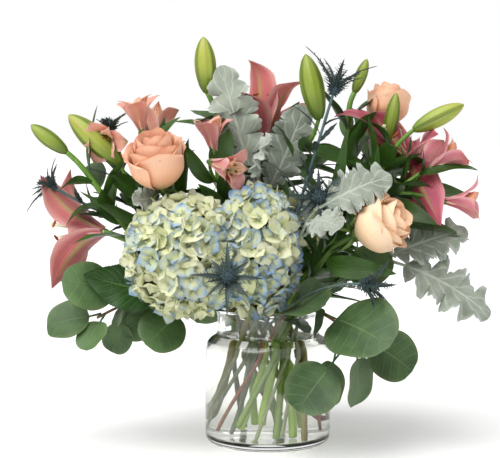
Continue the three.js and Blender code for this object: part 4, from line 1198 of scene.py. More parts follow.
def seat_of(node):
    """Where a flower sits on its stem, and its axis: between its petals, or towards its far end where it has none."""
    own = np.array([v.co[:] for v in frame["nodes"][node].data.vertices])
    at = min(stem_ends, key=lambda end: np.linalg.norm(own - end, axis=1).min())
    tips = [rail["tip"] for rail in rails.get(node, [])]
    if tips:
        aim = unit(sum(unit(tip - at) for tip in tips))
    elif "bud" in node:
        aim = unit(own[np.argmax(np.linalg.norm(own - at, axis=1))] - at)
    else:
        aim = unit(own.mean(0) - at)
    return at, aim


TO_THE_FRONT = np.array([0.0, -1.0, 0.0])


def frame_of(aim):
    """Two directions square to an axis, the first towards the front of the bunch."""
    one = unit(TO_THE_FRONT - aim * (TO_THE_FRONT @ aim))
    return one, np.cross(aim, one)


# %% One rose petal
def rose_petal(heap, base, aim, one, two, share, turn, long, wide, open_, tint):
    """A petal of a rose. share runs from 0 at the heart to 1 outside."""
    rows, lanes = 15, 15
    h = np.linspace(0, 1, rows)[:, None]
    v = np.linspace(-1, 1, lanes)[None]
    reach = wide / 2 * (0.1 + 0.9 * share**0.8)
    wrap = 2.3 - 1.25 * share**0.6
    sunk = 0.2 * max(0.0, share - 0.5) ** 1.2 * open_
    height = long * (0.86 + 0.14 * math.sin(math.pi * min(1.0, share * 1.4)) - sunk)
    belly = np.sin(math.pi / 2 * np.minimum(1, h / 0.55)) ** 0.8
    lean_in = (1 - share) * 0.42 * np.maximum(0, h - 0.5) ** 1.5
    flare = open_ * share**1.5 * 0.75 * np.maximum(0, h - 0.52) ** 1.7
    radius = reach * (0.14 + 0.86 * belly) * (1 - lean_in) + wide * 0.5 * flare
    radius = radius + 1.3 * MM * v * (0.4 + 0.6 * share) + 0.5 * MM * np.sin(3 * v + turn) * h
    fullness = 0.42 + 0.58 * np.sin(math.pi * np.minimum(1, h * 0.5 + 0.14)) ** 0.8
    angle = turn + v * wrap * fullness * (1 - 0.25 * h**6)
    droop = 0.15 * np.abs(v) ** 2.6 * h**1.5 + 0.035 * np.maximum(0, 1 - np.abs(v) * 2) * h**4 * -1
    z = height * (h * (1 - droop))
    lip = open_ * share**1.3 * np.maximum(0, h - 0.78) / 0.22
    radius = radius + lip**1.5 * 3.6 * MM * (0.6 + 0.4 * np.abs(v))
    z = z - lip**2 * (2.6 + 3.2 * np.abs(v) ** 2) * MM
    z = z + 0.6 * MM * np.sin(5 * v + turn * 3) * h**3 * share
    out = radius[..., None] * about(one, two, angle)
    sheet(heap, base + out + aim * z[..., None], (0.5 + 0.35 * share) * MM, tint)


# %% Rose colours
def rose_material(name, heart, body, pale, blush):
    material, t, end, uv, tint, place = start_material(name)
    veins = use_group(t, veins_group, UV=uv, Side_veins=3.0, Slant=0.4, Midrib=0.001, Fineness=0.05, Lines=9.0)
    mottle = use_group(t, mottle_group, Place=place, Patch_size=70.0, Grain_size=1500.0, Tint=0.5)
    base = t.mix(t.ramp(tint, 0.05, 0.85), colour(heart), colour(body))
    base = t.mix(t.math("MULTIPLY", t.ramp(veins["Along"], 0.35, 1.0), 0.8), base, colour(pale))
    base = t.mix(t.math("MULTIPLY", mottle["Patch"], 0.3), base, colour(pale))
    base = t.mix(t.ramp(veins["Along"], 0.92, 1.0, 0.0, 0.5), base, colour(blush))
    base = t.mix(t.ramp(veins["Along"], 0.0, 0.28, 0.65, 0.0), base, colour("cfc57a"))
    base = t.mix(t.math("MULTIPLY", veins["Ribs"], 0.16), base, colour(blush))
    relief = t.math("SUBTRACT", t.math("MULTIPLY", mottle["Grain"], 0.4), t.math("MULTIPLY", veins["Ribs"], 0.4))
    roughness = t.ramp(mottle["Grain"], 0.3, 0.7, 0.45, 0.6)
    finish_skin(t, end, base, roughness, relief, 0.15 * MM, colour("ffdcb8"), 0.25, Sheen_Weight=0.12)
    return material


rose_finishes = {
    "rose_bloom_left": (rose_material("peach_petal", "e98648", "f8bd92", "fdddc4", "f0a27c"), 0.75, 24),
    "rose_bloom_right": (rose_material("apricot_petal", "f2a04e", "fddcb2", "fff1da", "f6c08e"), 0.85, 22),
    "rose_bloom_top": (rose_material("coral_petal", "e8935c", "f6bd92", "fbdcc0", "eda580"), 0.4, 18),
}
sepal_green = leaf_material("rose_sepal", "35521f", "64853a", "93a866", 4.0, 0.5, 0.1, 0.1, 3.0, 0.5, 0.3)

# %% Open the three roses
BLOOM_ABOVE_SEAT = 4 * MM
for node, (finish, open_, petals) in sorted(rose_finishes.items()):
    at, aim = seat_of(node)
    own = np.array([v.co[:] for v in frame["nodes"][node].data.vertices]) - at
    long = (own @ aim).max() * 0.98
    wide = 2 * np.linalg.norm(own - np.outer(own @ aim, aim), axis=1).max() * 0.94
    one, two = frame_of(aim)
    base = at + aim * BLOOM_ABOVE_SEAT
    heap, green = Heap(), Heap()
    for i in range(petals):
        share = (i + 0.5) / petals
        turn = i * GOLDEN_TURN + random.uniform(-0.1, 0.1)
        size = random.uniform(0.97, 1.03)
        rose_petal(heap, base, aim, one, two, share, turn, (long - BLOOM_ABOVE_SEAT) * size, wide, open_, share)
    hip = smooth_profile([(2.6 * MM, -2 * MM), (5.2 * MM, 2 * MM), (6.0 * MM, 6 * MM), (4.6 * MM, 10 * MM)], 9)
    turned(green, at, aim, hip, 14, 0.4)
    for i in range(5):
        turn = i * 2 * math.pi / 5 + 0.4
        out = way_out(one, two, turn)
        share = np.linspace(0, 1, 10)[:, None]
        fall = random.uniform(0.7, 1.2)
        middle = at + aim * (1.0 + 4.0 * share - 19.0 * fall * share**2) * MM
        middle = middle + out * (5.0 + 17.0 * share - 4.0 * share**2) * MM
        side = np.cross(aim, out)
        half = 4.2 * MM * (1 - share) ** 0.8 * (0.6 + 0.6 * share)
        lane = np.linspace(-1, 1, 5)[None]
        surface = middle[:, None] + side * (lane * half)[..., None] + out * (-(lane**2) * half * 0.35)[..., None]
        sheet(green, surface, 0.6 * MM, random.random())
    piece_of(heap, node.replace("_bloom_", "_petals_"), "rose", [finish], node)
    piece_of(green, node.replace("_bloom_", "_sepals_"), "rose", [sepal_green])
    print(node, "long", round(long / MM), "wide", round(wide / MM), "petals", petals)
# %% [markdown]
# ## The lilies and their buds
# A lily has six petals in two rings of three. Each leaves the throat along the flower's axis, arches out, and its tip
# curls back, with a deep channel along the middle and a soft wave in its rim. The CAD petals give the tips; the arch
# between the throat and a tip is drawn as a curve with handles, because a flat CAD blade has no throat. The buds are
# the same six petals still closed, so they are turned shapes with three seams.

# %% Arch a petal from the throat to its tip
LEAVES, ARRIVES = 0.42, 0.36  # how long a curve's handles are, as shares of the way between its ends


def arch(start, start_aim, end, end_aim, rows):
    """A smooth curve between two points that leaves and arrives along the given ways."""
    reach = np.linalg.norm(end - start)
    t = np.linspace(0, 1, rows)[:, None]
    a, b = start + start_aim * reach * LEAVES, end - end_aim * reach * ARRIVES
    return start * (1 - t) ** 3 + a * 3 * t * (1 - t) ** 2 + b * 3 * t**2 * (1 - t) + end * t**3


def petal(heap, seat, aim, tip, wide, outline, recurve, throat, rows=30, lanes=13, channel=0.22, cup=0.25,
          ruffle=(0.06, 2.5), thick=0.8 * MM, tint=0.5, kind=0):
    """A petal that starts beside the flower's axis and ends at its tip. recurve turns the tip back."""
    out = tip - seat - aim * ((tip - seat) @ aim)
    out = unit(out)
    start = seat + aim * throat[1] + out * throat[0]
    end_aim = unit(out * (1 - 0.3 * recurve) - aim * recurve + unit(tip - start) * (1 - recurve))
    middle = arch(start, unit(aim + out * 0.15), tip, end_aim, rows)
    step = np.gradient(middle, axis=0)
    step /= np.linalg.norm(step, axis=1, keepdims=True)
    side = np.cross(step, np.cross(aim, out))
    side = np.cross(step, side)
    side /= np.linalg.norm(side, axis=1, keepdims=True)
    normal = np.cross(side, step)
    if (normal[rows // 3] @ out) > 0:
        normal = -normal
    share = np.linspace(0, 1, rows)[:, None]
    lane = np.linspace(-1, 1, lanes)[None]
    half = outline(share) * wide / 2
    edge = np.abs(lane)
    turn = random.random() * FULL_TURN
    wave = np.sin(2 * math.pi * ruffle[1] * share + turn + np.where(lane < 0, 0.0, 2.1))
    groove = channel * np.exp(-((edge / 0.16) ** 2)) * (1 - share**3)
    rise = cup * edge**2 * (1 - 0.8 * share) - groove + ruffle[0] * wave * edge**2
    surface = middle[:, None] + side[:, None] * (lane * half)[..., None] + normal[:, None] * (rise * half)[..., None]
    sheet(heap, surface, thick, tint, kind)


def lily_outline(share):
    belly = 0.28 + 0.72 * np.sin(math.pi * np.minimum(1, share * 0.93 + 0.02)) ** 1.1
    return belly * np.minimum(1, (1 - share) * 3.4) ** 0.75


# %% Petal colours
def specks(t, uv, along, across, low, high):
    """Small dots on a blade, about so many along it and across it."""
    stretched = t.put("ShaderNodeMapping", Vector=uv)
    stretched.inputs["Scale"].default_value = (along, across, 1.0)
    place = stretched.outputs["Vector"]
    spots = t.put("ShaderNodeTexVoronoi", {"feature": "F1"}, Vector=place, Scale=1.0)
    return t.ramp(spots.outputs["Distance"], low, high, 1.0, 0.0)


def petal_material(name, deep, body, pale, rib, rib_wide=0.12, rib_share=0.7, flecks=0.0, tip_colour="000000",
                   tip_share=0.0, through="f09a90"):
    material, t, end, uv, tint, place = start_material(name)
    veins = use_group(t, veins_group, UV=uv, Side_veins=4.0, Slant=0.6, Midrib=rib_wide, Fineness=0.05, Lines=8.0)
    mottle = use_group(t, mottle_group, Place=place, Patch_size=55.0, Grain_size=1400.0, Tint=tint)
    base = t.mix(mottle["Patch"], colour(body), t.mix(0.5, colour(body), colour(deep)))
    base = t.mix(t.ramp(veins["Along"], 0.05, 0.6, 0.75, 0.0), base, colour(deep))
    base = t.mix(t.ramp(veins["Edge"], 0.5, 1.0, 0.0, 0.65), base, colour(pale))
    base = t.mix(t.math("MULTIPLY", veins["Ribs"], 0.3), base, colour(deep))
    narrow = t.math("DIVIDE", veins["Edge"], t.math("SUBTRACT", 1.0, t.math("MULTIPLY", veins["Along"], 0.6)))
    stripe = t.math("MULTIPLY", t.ramp(narrow, rib_wide * 0.6, rib_wide * 2.2, 1.0, 0.0), rib_share)
    base = t.mix(t.math("MULTIPLY", stripe, t.ramp(veins["Along"], 0.5, 1.0, 1.0, 0.35)), base, colour(rib))
    base = t.mix(t.math("MULTIPLY", t.ramp(veins["Along"], 0.86, 1.0), tip_share), base, colour(tip_colour))
    near_throat = t.ramp(veins["Along"], 0.3, 0.75, 1.0, 0.0)
    dots = t.math("MULTIPLY", specks(t, uv, 9.0, 34.0, 0.18, 0.3), near_throat)
    base = t.mix(t.math("MULTIPLY", dots, flecks), base, colour("5a1f26"))
    relief = t.math("SUBTRACT", t.math("MULTIPLY", mottle["Grain"], 0.3), t.math("MULTIPLY", veins["Ribs"], 0.6))
    roughness = t.ramp(mottle["Grain"], 0.3, 0.7, 0.38, 0.52)
    finish_skin(t, end, base, roughness, relief, 0.2 * MM, colour(through), 0.25, Sheen_Weight=0.1)
    return material


lily_finishes = {
    "lily_flower_left": petal_material("salmon_lily", "b8525c", "de8f8b", "f4cec6", "c4c27a", flecks=0.25),
    "lily_flower_top": petal_material("pale_lily", "c05f62", "dd8d8c", "f1c8c2", "bfc070", flecks=0.2),
    "lily_flower_right": petal_material("rose_lily", "96314f", "c55a72", "e6a3a8", "b9a86a", flecks=0.3),
}
anther_finish = plain_growth("lily_anther", "7a3514", "b9652a", 0.9)
filament_finish = plain_growth("lily_filament", "b9c68a", "dfe3bd")

# %% Open the lilies
LILY_PETAL = 37 * MM
for node, finish in sorted(lily_finishes.items()):
    at, aim = seat_of(node)
    heap, inner = Heap(), Heap()
    tips = [rail["tip"] for rail in rails[node] if rail["half"].max() > 6 * MM]
    reach = float(np.median([np.linalg.norm(tip - at) for tip in tips]))
    for i, tip in enumerate(tips):
        span = np.linalg.norm(tip - at)
        tip = at + (tip - at) * max(1.0, 0.88 * reach / span)
        wide = LILY_PETAL * (1.06 if i % 2 else 0.86)
        petal(heap, at, aim, tip, wide, lily_outline, 0.45, (2.5 * MM, 1 * MM), tint=random.random())
    one, two = frame_of(aim)
    for i in range(7):
        turn = i * 2 * math.pi / 6 + 0.3
        out = way_out(one, two, turn)
        length = reach * (0.78 if i == 6 else 0.66)
        lean = 0.06 if i == 6 else 0.26
        end = at + unit(aim + out * lean) * length
        line = arch(at + out * 1.2 * MM, aim, end, unit(aim + out * (lean + 0.3)), 9)
        tube(inner, line, np.linspace(0.9, 0.55, 9) * MM * (1.5 if i == 6 else 1.0), 6, random.random())
        if i == 6:
            turned(inner, end, aim, [(1.2 * MM, -1 * MM), (2.6 * MM, 1 * MM), (1.6 * MM, 2.6 * MM)], 9, 0.8)
            continue
        across = unit(np.cross(out, aim) + out * random.uniform(-0.3, 0.3))
        pod = end + across[None] * np.linspace(-4.5, 4.5, 7)[:, None] * MM + out * 1.0 * MM
        tube(inner, pod, np.array([0.5, 1.1, 1.3, 1.35, 1.3, 1.1, 0.5]) * MM, 7, random.random(), kind=1)
    piece_of(heap, node.replace("_flower_", "_petals_"), "lily", [finish], node)
    piece_of(inner, node.replace("_flower_", "_stamens_"), "lily", [filament_finish, anther_finish])
    print(node, "petals", len(tips), "reach", round(reach / MM))


# %% The buds
def bud_material(name, low, body, blush, blush_share):
    material, t, end, uv, tint, place = start_material(name)
    split = t.put("ShaderNodeSeparateXYZ", Vector=uv)
    seams = t.math("PINGPONG", t.math("MULTIPLY", split.outputs["Y"], 3.0), 0.5)
    fine = t.math("PINGPONG", t.math("MULTIPLY", split.outputs["Y"], 30.0), 0.5)
    mottle = use_group(t, mottle_group, Place=place, Patch_size=60.0, Grain_size=1500.0, Tint=tint)
    base = t.mix(t.ramp(split.outputs["X"], 0.05, 0.5), colour(low), colour(body))
    base = t.mix(t.math("MULTIPLY", mottle["Patch"], 0.35), base, colour("7f9438"))
    # Along the three seams the bud is painted a darker green: painted shade in the grooves between its petals.
    base = t.mix(t.math("MULTIPLY", t.ramp(seams, 0.05, 0.28, 1.0, 0.0), 0.55), base, colour("3f5716"))
    ripe = t.math("MULTIPLY", t.ramp(seams, 0.3, 0.5), t.ramp(split.outputs["X"], 0.35, 1.0, 0.0, blush_share))
    base = t.mix(ripe, base, colour(blush))
    relief = t.math("ADD", t.math("MULTIPLY", fine, 0.5), t.math("MULTIPLY", mottle["Grain"], 0.3))
    roughness = t.ramp(mottle["Grain"], 0.3, 0.7, 0.36, 0.5)
    finish_skin(t, end, base, roughness, relief, 0.25 * MM, colour("c3d35a"), 0.12)
    return material


BUD_SLIM = 0.84
BUD_SHAPE = [(0.34, -0.01), (0.62, 0.08), (0.86, 0.24), (1.0, 0.46), (0.93, 0.66), (0.66, 0.84), (0.34, 0.95),
             (0.06, 1.0)]


def three_seams(share, turn):
    """The radius of a closed bud: three seams between its petals, and shallow ribs, fading at both ends."""
    seams = 0.2 * np.exp(-((np.sin(1.5 * turn) / 0.2) ** 2)) + 0.05 * np.cos(9 * turn)
    return 1 - seams * np.sin(math.pi * share) ** 0.5


bud_finishes = [
    bud_material("green_bud", "556f1f", "8a9c34", "b8b766", 0.45),
    bud_material("lime_bud", "6f8a2a", "a9b448", "cf9a70", 0.4),
]
for number, node in enumerate(n for n in nodes if n.startswith("lily_bud")):
    own = np.array([v.co[:] for v in frame["nodes"][node].data.vertices])
    at, aim = seat_of(node)
    own = own - at
    along = own @ aim
    half = np.linalg.norm(own - np.outer(along, aim), axis=1).max()
    long = along.max()
    profile = smooth_profile([(r * half * BUD_SLIM, z * long) for r, z in BUD_SHAPE], 26)
    heap = Heap()
    turned(heap, at, aim, np.maximum(profile, [[0.2 * MM, -1]]), 36, random.random(), wave=three_seams)
    piece_of(heap, node + "_closed", "bud", [bud_finishes[number % 2]], node)
    print(node, "long", round(long / MM), "wide", round(2 * half / MM))
# %% [markdown]
# ## The alstroemeria
# An alstroemeria looks like a small lily, but its two rings differ: the outer three petals are broad with a green
# tip, and the inner three are narrow and cream, with dark dashes that lead insects in. So the petals are arched like
# the lily's, and two materials and two outlines tell the rings apart.

# %% Alstroemeria petals
def wide_outline(share):
    belly = 0.22 + 0.78 * np.sin(math.pi * np.minimum(1, share**1.35 * 0.9 + 0.04)) ** 0.9
    return belly * np.minimum(1, (1 - share) * 5) ** 0.6


def dashed_material(name, throat, body, pale, dash):
    """A petal with a pale throat and dark dashes that run along it."""
    material, t, end, uv, tint, place = start_material(name)
    veins = use_group(t, veins_group, UV=uv, Side_veins=3.0, Slant=0.4, Midrib=0.03, Fineness=0.05, Lines=7.0)
    mottle = use_group(t, mottle_group, Place=place, Patch_size=70.0, Grain_size=1500.0, Tint=tint)
    base = t.mix(t.ramp(veins["Along"], 0.35, 0.85), colour(throat), colour(body))
    base = t.mix(t.ramp(veins["Edge"], 0.55, 1.0, 0.0, 0.6), base, colour(pale))
    base = t.mix(t.math("MULTIPLY", mottle["Patch"], 0.25), base, colour(body))
    below_tip = t.ramp(veins["Along"], 0.8, 0.95, 1.0, 0.0)
    dashes = t.math("MULTIPLY", specks(t, uv, 7.0, 17.0, 0.2, 0.34), below_tip)
    base = t.mix(t.math("MULTIPLY", dashes, t.ramp(veins["Along"], 0.15, 0.35)), base, colour(dash))
    relief = t.math("SUBTRACT", t.math("MULTIPLY", mottle["Grain"], 0.3), t.math("MULTIPLY", veins["Ribs"], 0.5))
    roughness = t.ramp(mottle["Grain"], 0.3, 0.7, 0.4, 0.52)
    finish_skin(t, end, base, roughness, relief, 0.15 * MM, colour("ffc7a0"), 0.25)
    return material


OUTER_FINISHES = {
    "left": petal_material("peach_outer", "de8476", "f5c0ab", "fce8dc", "e7d9a0", 0.1, 0.45, flecks=0.3,
                           tip_colour="8fa04c", tip_share=0.8, through="ffb090"),
    "middle": petal_material("blush_outer", "d67a80", "f3bab2", "fbe5de", "ead9ae", 0.1, 0.45, flecks=0.3,
                             tip_colour="97a552", tip_share=0.8),
    "right": petal_material("pink_outer", "c8607a", "eaa0a8", "f9d6d2", "e8cfa6", 0.1, 0.4, flecks=0.3,
                            tip_colour="8fa04c", tip_share=0.8),
}
inner_finish = dashed_material("dashed_inner", "f6e2a0", "f0b79f", "fbe6d6", "5b1c22")

# %% Open the alstroemeria
LEAST_REACH = 30 * MM
INNER_WIDE = 13 * MM
OUTER_WIDE = 21 * MM
for node in sorted(n for n in nodes if n.startswith("alstroemeria_flower")):
    at, aim = seat_of(node)
    heap = Heap()
    tips = [rail["tip"] for rail in rails[node]]
    one, two = frame_of(aim)
    reach = max(LEAST_REACH, float(np.median([np.linalg.norm(tip - at) for tip in tips])))
    spread = float(np.median([math.acos(float(np.clip(unit(tip - at) @ aim, -1, 1))) for tip in tips]))
    first = random.random() * 2
    for i in range(6):
        turn = first + i * math.pi / 3 + random.uniform(-0.08, 0.08)
        inner = i % 2
        out = way_out(one, two, turn)
        lean = spread * (0.8 if inner else 1.05)
        tip = at + (aim * math.cos(lean) + out * math.sin(lean)) * reach * random.uniform(0.94, 1.06)
        wide, outline = (INNER_WIDE, lily_outline) if inner else (OUTER_WIDE, wide_outline)
        petal(heap, at, aim, tip, wide, outline, 0.5, (1.4 * MM, 1 * MM), rows=20, lanes=9, channel=0.12, cup=0.3,
              ruffle=(0.08, 1.8), thick=0.6 * MM, tint=random.random(), kind=inner)
    fine = Heap()
    for i in range(6):
        turn = first + 0.5 + i * math.pi / 3
        out = way_out(one, two, turn)
        end = at + unit(aim + out * 0.22) * reach * random.uniform(0.6, 0.72)
        tube(fine, arch(at + out * MM, aim, end, unit(aim + out * 0.6), 7), 0.45 * MM, 5, 0.5)
        turned(fine, end, unit(aim + out), [(0.5 * MM, -1.6 * MM), (1.1 * MM, 0), (0.5 * MM, 1.6 * MM)], 6, 0.5, 1)
    cup = smooth_profile([(1.6 * MM, -3 * MM), (3.0 * MM, 0), (3.4 * MM, 3 * MM), (2.2 * MM, 5.5 * MM)], 8)
    turned(fine, at, aim, cup, 12, 0.5, 2, wave=lambda s, a: 1 + 0.06 * np.cos(6 * a) + 0 * s)
    side = node.split("_")[2]
    piece_of(heap, node.replace("_flower_", "_petals_"), "alstroemeria", [OUTER_FINISHES[side], inner_finish], node)
    finishes = [filament_finish, anther_finish, sepal_green]
    piece_of(fine, node.replace("_flower_", "_stamens_"), "alstroemeria", finishes)
    print(node, "reach", round(reach / MM))
# %% [markdown]
# ## The sea holly
# A sea holly is a small cone of tight flowers on a ruff of stiff bracts, every edge of which ends in spines. The
# bracts follow the ones of the CAD model, with shorter ones between them. The cone's spikes repeat over a surface,
# so the tree that scatters the hydrangea's florets grows them too, with other members and other sizes.

# %% Sea holly materials
def steel_material(name, deep, light, edge, rough):
    material, t, end, uv, tint, place = start_material(name)
    veins = use_group(t, veins_group, UV=uv, Side_veins=5.0, Slant=0.3, Midrib=0.12, Fineness=0.1, Lines=3.0)
    mottle = use_group(t, mottle_group, Place=place, Patch_size=80.0, Grain_size=1500.0, Tint=tint)
    base = t.mix(mottle["Patch"], colour(deep), colour(light))
    lit = t.math("MULTIPLY", t.math("MAXIMUM", veins["Vein"], t.ramp(veins["Edge"], 0.8, 1.0)), 0.45)
    base = t.mix(lit, base, colour(edge))
    relief = t.math("SUBTRACT", t.math("MULTIPLY", mottle["Grain"], 0.4), veins["Vein"])
    roughness = t.ramp(mottle["Grain"], 0.3, 0.7, rough, rough + 0.15)
    finish_skin(t, end, base, roughness, relief, 0.2 * MM, colour("5f8d8a"), 0.06, Sheen_Weight=0.1)
    return material


bract_finish = steel_material("steel_bract", "131e1b", "2c423c", "64807f", 0.4)
cone_finish = steel_material("steel_cone", "1a2a2c", "345055", "668a96", 0.55)

# %% Spiny bracts
def bract(heap, root, tip, face, wide, spines, tint):
    """A stiff narrow bract with a keel, and thin spines along both edges."""
    rows = 13
    share = np.linspace(0, 1, rows)[:, None]
    long = np.linalg.norm(tip - root)
    aim = unit(tip - root)
    face = unit(face - aim * (face @ aim))
    side = np.cross(aim, face)
    middle = root + aim * long * share + face * long * 0.1 * np.sin(math.pi * share)
    belly = 0.35 + 0.65 * np.sin(math.pi * np.minimum(1, share * 0.8 + 0.12))
    half = wide / 2 * belly * (1 - share) ** 0.55
    lane = np.linspace(-1, 1, 5)[None]
    surface = middle[:, None] + side * (lane * half)[..., None] + face * (np.abs(lane) * half * 0.5)[..., None]
    sheet(heap, surface, 0.7 * MM, tint)
    for k in range(spines):
        at = 0.12 + 0.76 * (k // 2 + 0.5 * (k % 2)) / (spines / 2)
        row = int(at * (rows - 1))
        hand = 1 if k % 2 else -1
        start = middle[row] + side * hand * half[row] * 0.6
        way = side * hand * random.uniform(0.8, 1.0) + aim * random.uniform(0.5, 0.9)
        way = way + face * random.uniform(-0.4, 0.5)
        end = start + way * (long * 0.2 * (1.1 - at))
        line = start + (end - start) * np.linspace(0, 1, 3)[:, None]
        tube(heap, line, np.array([0.5, 0.32, 0.12]) * MM, 4, tint)


def spike(name, long, wide):
    """A small floret of the cone: a pointed four-sided bud."""
    heap = Heap()
    turned(heap, (0, 0, -0.6 * MM), (0, 0, 1), [(wide * 0.7, 0), (wide, long * 0.45), (wide * 0.25, long)], 5)
    return member_mesh(heap, name)


# %% Grow the six sea hollies
SPIKE_WIDE = 0.75 * MM
spike_shapes = [spike(f"spike_{i}", long * MM, SPIKE_WIDE) for i, long in enumerate((3.0, 3.8, 2.4))]
spikes = helper_collection("spikes", spike_shapes)
SPIKE_FACES = len(spike_shapes[0].polygons)
CONE_SHAPE = [(2.2 * MM, -1 * MM), (4.2 * MM, 2 * MM), (4.8 * MM, 6 * MM), (3.6 * MM, 11 * MM), (1.0 * MM, 14 * MM)]
for seed, node in enumerate(sorted(n for n in nodes if n.startswith("sea_holly_head"))):
    at, aim = seat_of(node)
    one, two = frame_of(aim)
    heap = Heap()
    ways = [rail["tip"] - at for rail in rails[node]]
    reach = float(np.median([np.linalg.norm(way) for way in ways]))
    lean = float(np.median([math.acos(float(np.clip(unit(way) @ aim, -1, 1))) for way in ways]))
    for way in ways:
        out = unit(way)
        end = at + way * random.uniform(0.72, 1.06)
        bract(heap, at + out * 2 * MM, end, aim, random.uniform(4.6, 6.6) * MM, 14, random.random())
    for i in range(9):
        turn = i * GOLDEN_TURN
        out = way_out(one, two, turn)
        bend = lean * random.uniform(0.7, 1.15)
        end = at + (aim * math.cos(bend) + out * math.sin(bend)) * reach * random.uniform(0.45, 0.8)
        bract(heap, at + out * 1.5 * MM, end, aim, 3.4 * MM, 8, random.random())
    heart = Heap()
    turned(heart, at, aim, smooth_profile(CONE_SHAPE, 12), 16)
    base = heart.mesh("cone")
    piece_of(heap, node.replace("_head_", "_bracts_"), "sea_holly", [bract_finish], node)
    inputs = {"Members": spikes, "Spacing": 0.0014, "Least size": 0.8, "Most size": 1.15, "Tilt": 0.2,
              "Seed": 40 + seed, "Main finish": cone_finish, "Second finish": cone_finish}
    piece = grown_piece(node.replace("_head_", "_spikes_"), "sea_holly", base, surface_tree, inputs)
    piece_of(heart, node.replace("_head_", "_cone_"), "sea_holly", [cone_finish])
    print(node, "bracts", len(ways), "reach", round(reach / MM), "spikes", len(piece.data.polygons) // SPIKE_FACES)
drop_collection(spikes)
# %% [markdown]
# ## Leaves between the flowers
# What makes a bunch look full is the foliage that no one notices: short leaves in a spiral up each stem, filling the
# gaps. A leaf stands at every few centimetres, a golden turn on from the last. That is a rule along a path, so a
# Geometry Nodes tree follows it: it cuts each centre line into even steps and sets a leaf on every step.

# %% Leaves to choose from
SMALL_LEAF_THICK = 0.5 * MM
STUB_RADIUS = 0.7 * MM


def small_leaf(name, sort, long, wide, bend, lanes=5, rows=12, **shape):
    """A leaf that grows from the origin along +X with its upper face towards +Z."""
    heap = Heap()
    share = np.linspace(0, 1, rows)
    height = bend * long * share * (1 - share) * 2 - bend * long * share**2 * 0.6
    middle = np.stack([long * (0.03 + 0.97 * share), 0 * share, height], axis=1)
    side = np.tile([0.0, 1.0, 0.0], (rows, 1))
    normal = np.cross(np.gradient(middle, axis=0), side)
    normal /= np.linalg.norm(normal, axis=1, keepdims=True)
    leaf(heap, (middle, side, normal, wide / 2), sort, rows, lanes, SMALL_LEAF_THICK, **shape)
    stub = np.array([[-1.5 * MM, 0, 0], [long * 0.02, 0, 0], [long * 0.07, 0, 0]])
    tube(heap, stub, STUB_RADIUS, 5)
    return member_mesh(heap, name)


# %% The tree that sets leaves along lines
SPIN_ASTRAY, LEAN_ASTRAY = 0.35, 0.5


def whorl_tree(name):
    """A tree that sets the members of a collection along lines, each a golden turn on from the last."""
    tree, t, given, put_out = grower(name, [
        ("Step", "Float", 0.012), ("Least size", "Float", 0.7), ("Most size", "Float", 1.1),
        ("Least lift", "Float", 0.5), ("Most lift", "Float", 1.1), ("Finish", "Material", None),
    ])
    curve = t.put("GeometryNodeMeshToCurve", Mesh=given["Geometry"]).outputs["Curve"]
    steps = t.put("GeometryNodeResampleCurve", {"mode": "LENGTH"}, Curve=curve, Length=given["Step"])
    tangent = t.put("GeometryNodeInputTangent").outputs["Tangent"]
    number = t.put("GeometryNodeInputIndex").outputs["Index"]
    astray = drawn(t, given, -SPIN_ASTRAY, SPIN_ASTRAY, "FLOAT", 1)
    spin = t.math("ADD", t.math("MULTIPLY", number, GOLDEN_TURN), astray)
    lift = t.math("MULTIPLY", drawn(t, given, given["Least lift"], given["Most lift"], "FLOAT", 2), -1.0)
    lean = t.put("ShaderNodeCombineXYZ", X=drawn(t, given, -LEAN_ASTRAY, LEAN_ASTRAY, "FLOAT", 3), Y=lift, Z=spin)
    whole = set_members(t, given, steps.outputs["Curve"], tangent, lean)
    painted = t.put("GeometryNodeSetMaterial", Geometry=whole, Material=given["Finish"])
    t.feed(put_out["Geometry"], painted.outputs["Geometry"])
    return tree


# %% Fill the gaps
BARE_END = 8  # cells of a centre line that stay bare below a flower


def inside_head(point):
    for head in HEAD_COLOURS:
        low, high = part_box(head)
        middle, half = (low + high) / 2, (high - low) / 2
        if sum(((point[k] - middle[k]) / half[k]) ** 2 for k in range(3)) < 0.9:
            return True
    return False


def upper_lines(node, low):
    """The centre lines of a node above a height and outside the hydrangea heads, as a mesh of edges."""
    points, edges = [], []
    for line, _ in stem_lines[node]:
        last = None
        for point in line[:-BARE_END]:
            if point[2] < low or inside_head(point):
                last = None
                continue
            points.append(tuple(point))
            if last is not None:
                edges.append((last, len(points) - 1))
            last = len(points) - 1
    used = sorted({i for edge in edges for i in edge})
    if not used:
        return None
    renumber = {old: new for new, old in enumerate(used)}
    mesh = bpy.data.meshes.new("line")
    mesh.from_pydata([points[i] for i in used], [(renumber[a], renumber[b]) for a, b in edges], [])
    return mesh


# For each kind of plant: the sort of leaf, the height where it begins, the step between leaves, their least and
# most size, their least and most lift from the stem, and the slot.
FILLERS = {
    "lily": ("lance", 0.15, 8 * MM, 0.8, 1.2, 0.25, 1.0, "stem"),
    "alstroemeria": ("lance", 0.15, 7.5 * MM, 0.8, 1.2, 0.25, 1.0, "stem"),
    "rose": ("lance", 0.14, 9 * MM, 0.7, 0.95, 0.3, 0.9, "stem"),
    "dusty": ("silver", 0.15, 17 * MM, 0.6, 0.95, 0.4, 1.0, "dusty_miller"),
    "eucalyptus": ("coin", 0.125, 15 * MM, 0.8, 1.25, 0.3, 1.0, "eucalyptus"),
    "sea": ("spiny", 0.16, 8 * MM, 0.6, 1.1, 0.4, 0.9, "sea_holly_stem"),
}
